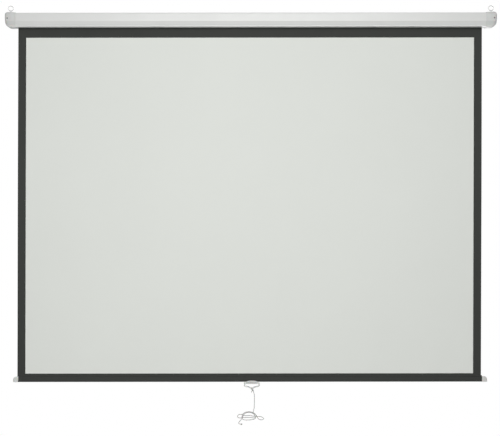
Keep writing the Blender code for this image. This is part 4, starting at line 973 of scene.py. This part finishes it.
bar_paint = skinned("bar_paint", (0.03, 0.03, 0.03), 0.5, depth=0.00004, drift=0.2)
as_built("flat_bar", "hem_bar", "bar", bar_paint)

pale_moulding = skinned("pale_moulding", (0.66, 0.665, 0.65), 0.42, grain=1900.0,
                        Subsurface_Weight=0.08, Subsurface_Scale=0.002)
PLUG_SHOULDER, PLUG_FOOT, PLUG_EDGE = 0.014, 0.0024, 0.0011
for side, name in ((-1, "left"), (1, "right")):
    low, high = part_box(f"bar_plug_{name}")
    start, end = (high.x, low.x) if side < 0 else (low.x, high.x)
    corners = [(start, low.z, 0), (start, high.z, 0), (end, high.z, PLUG_SHOULDER), (end, low.z, PLUG_FOOT)]
    bm = drawn_out([(x, low.y, z) for x, z in fillet(corners, 14, hold=0)], (0, high.y - low.y, 0))
    rims = [edge for edge in bm.edges if abs(edge.verts[0].co.y - edge.verts[1].co.y) < 1e-6]
    bmesh.ops.bevel(bm, geom=rims, offset=PLUG_EDGE, segments=6, affect="EDGES", profile=0.5, material=-1)
    piece(f"plug_{name}", bm, "bar", pale_moulding, (f"bar_plug_{name}",))

# Clip and handle: a white moulded saddle over the hem, screwed to the bar from behind, with an
# open tunnel below. The handle's loop has a rod across it that snaps into the tunnel and turns.

clip_low, clip_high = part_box("handle_clip")
HEM_BOTTOM = pocket_low.z
CLIP_HALF = (clip_high.x - clip_low.x) / 2
CLIP_IN, CLIP_WALL, CLIP_ARCH, CLIP_FOOT = HEM_HALF_Y + 0.0003, 0.0022, 0.006, 0.0014
WEB_TOP, WEB_UNDER = HEM_BOTTOM - 0.0003, 0.0010
TUNNEL_BORE, TUNNEL_OUT, MOUTH_HALF = 0.0025, 0.0041, 0.0017
CLIP_HEAD, CLIP_HEAD_THICK, CLIP_HOLE = 0.0021, 0.0012, 0.0013
SPARE, CLEAR_X, CLEAR = 0.0005, 0.05, 0.03
clip_out, clip_top = CLIP_IN + CLIP_WALL, HEM_BOTTOM + CLIP_ARCH + 0.001
rod_at = (HANDLE_X, SHEET_Y, ROD_Z)


def quarter(steps):
    """The angles of a quarter turn in even steps."""
    return [math.pi / 2 * step / steps for step in range(steps + 1)]


def foot(side, angle):
    """A point on the rounded foot of one of the saddle's leaves."""
    return (side * (clip_out - CLIP_FOOT * (1 - math.cos(angle))),
            WEB_TOP - WEB_UNDER - CLIP_FOOT * math.sin(angle))


saddle = [(-clip_out, clip_top), (-CLIP_IN, clip_top), (-CLIP_IN, WEB_TOP), (CLIP_IN, WEB_TOP),
          (CLIP_IN, clip_top), (clip_out, clip_top)]
saddle += [foot(1, angle) for angle in quarter(6)]
saddle += [foot(-1, angle) for angle in reversed(quarter(6))]
saddle_raw = drawn_out([(HANDLE_X - CLIP_HALF - SPARE, SHEET_Y + y, z) for y, z in saddle],
                       (2 * (CLIP_HALF + SPARE), 0, 0))
half = [(CLEAR_X, CLEAR), (CLEAR_X, -CLEAR), (CLIP_HALF, -CLEAR)]
half += [(CLIP_HALF * math.cos(angle), CLIP_ARCH * math.sin(angle)) for angle in quarter(16)[:-1]]
beyond = half + [(0, CLIP_ARCH)] + [(-x, z) for x, z in reversed(half)]
outside = drawn_out([(HANDLE_X + x, SHEET_Y - CLEAR, HEM_BOTTOM + z) for x, z in beyond], (0, 2 * CLEAR, 0))
# The three cutters go in as one mesh, so that the saddle is cut only once.
for name in ("left", "right"):
    spot = middle_of(f"clip_screw_{name}")
    hole = turned([(0.0, CLIP_HOLE), (0.02, CLIP_HOLE)], (spot.x, SHEET_Y, spot.z), "Y", segments=24)
    hole_mesh = bpy.data.meshes.new("cutting")
    hole.to_mesh(hole_mesh)
    hole.free()
    outside.from_mesh(hole_mesh)
barrel = turned([(-CLIP_HALF, TUNNEL_OUT), (CLIP_HALF, TUNNEL_OUT)], rod_at, segments=40)
bore = turned([(-CLEAR_X, TUNNEL_BORE), (CLEAR_X, TUNNEL_BORE)], rod_at, segments=40)
mouth = block((HANDLE_X - CLEAR_X, SHEET_Y + TUNNEL_BORE / 2, ROD_Z - MOUTH_HALF),
              (HANDLE_X + CLEAR_X, SHEET_Y + 0.008, ROD_Z + MOUTH_HALF))
clip = piece("clip_saddle", cut(saddle_raw, outside), "bar", white_moulding,
             ("handle_clip",))
tunnel = piece("clip_tunnel", cut(barrel, bore, mouth), "bar", white_moulding)
for part, width in ((clip, 0.00022), (tunnel, 0.0005)):
    soften = part.modifiers.new("soft_edges", "BEVEL")
    soften.width = width
    soften.use_clamp_overlap = part == tunnel
    soften.segments = 3
    soften.limit_method = "ANGLE"
    soften.angle_limit = math.radians(50)
    soften.harden_normals = True
for name in ("left", "right"):
    solid = f"clip_screw_{name}"
    piece(f"clip_fixing_{name}", screw_mesh(solid, 1, CLIP_HEAD, CLIP_HEAD_THICK), "bar", zinc,
          (solid,))

HANDLE_HALF, HANDLE_ARM, HANDLE_SHOULDER, HANDLE_FLAT = 0.036, 0.0065, 0.0175, 0.003
TIP, TIP_DRAFT = 0.0016, 0.34
ROD_RADIUS, ROD_INTO_ARM = 0.0022, 0.003
inside = HANDLE_HALF - HANDLE_ARM
shoulder = HANDLE_BAR / 2 - HANDLE_SHOULDER
half_down = [(HANDLE_HALF - HANDLE_ARM / 2, HANDLE_TOP, 0), (HANDLE_HALF - HANDLE_ARM / 2, shoulder, 0.0052),
             (0.0175, shoulder - 0.0019, 0.012), (0.0078, shoulder - 0.0062, 0.010),
             (HANDLE_FLAT, HANDLE_BAR / 2 - HANDLE_DIP, 0.0035)]
centre_line = fillet([*half_down, *[(-x, z, r) for x, z, r in reversed(half_down)]], 7, hold=0)
centre_line = [Vector((x, 0, z)) for x, z in centre_line]
spots = []
for a, b in zip(centre_line, centre_line[1:]):
    steps = max(1, round((b - a).length / 0.0012))
    spots += [a.lerp(b, i / steps) for i in range(steps)]
spots.append(centre_line[-1])
section = fillet([(-1, -1, 0.62), (-1, 1, 0.62), (1, 1, 0.62), (1, -1, 0.62)], 5, hold=0)
depth = (handle_high.y - handle_low.y) / 2
rings = []
for i, spot in enumerate(spots):
    along = (spots[min(i + 1, len(spots) - 1)] - spots[max(i - 1, 0)]).normalized()
    across = Vector((along.z, 0, -along.x))
    level = min(1.0, max(0.0, (spot.z + HANDLE_SHOULDER - HANDLE_BAR) / HANDLE_BAR))
    wide = (HANDLE_BAR + (HANDLE_ARM - HANDLE_BAR) * level) / 2
    from_end = min(1.0, max(0.0, (HANDLE_TOP - spot.z) / TIP)) if abs(spot.x) > inside else 1.0
    shrink = 1 - TIP_DRAFT * (1 - math.sqrt(1 - (1 - from_end) ** 2))
    rings.append([Vector(rod_at) + spot + across * u * wide * shrink + Vector((0, v * depth * shrink, 0))
                  for u, v in section])
piece("handle_loop", bridged(rings), "handle", white_moulding, ("pull_handle",), sharp_over=50)
rod = turned([(-inside - ROD_INTO_ARM, ROD_RADIUS), (inside + ROD_INTO_ARM, ROD_RADIUS)], rod_at)
piece("handle_rod", rod, "handle", white_moulding)
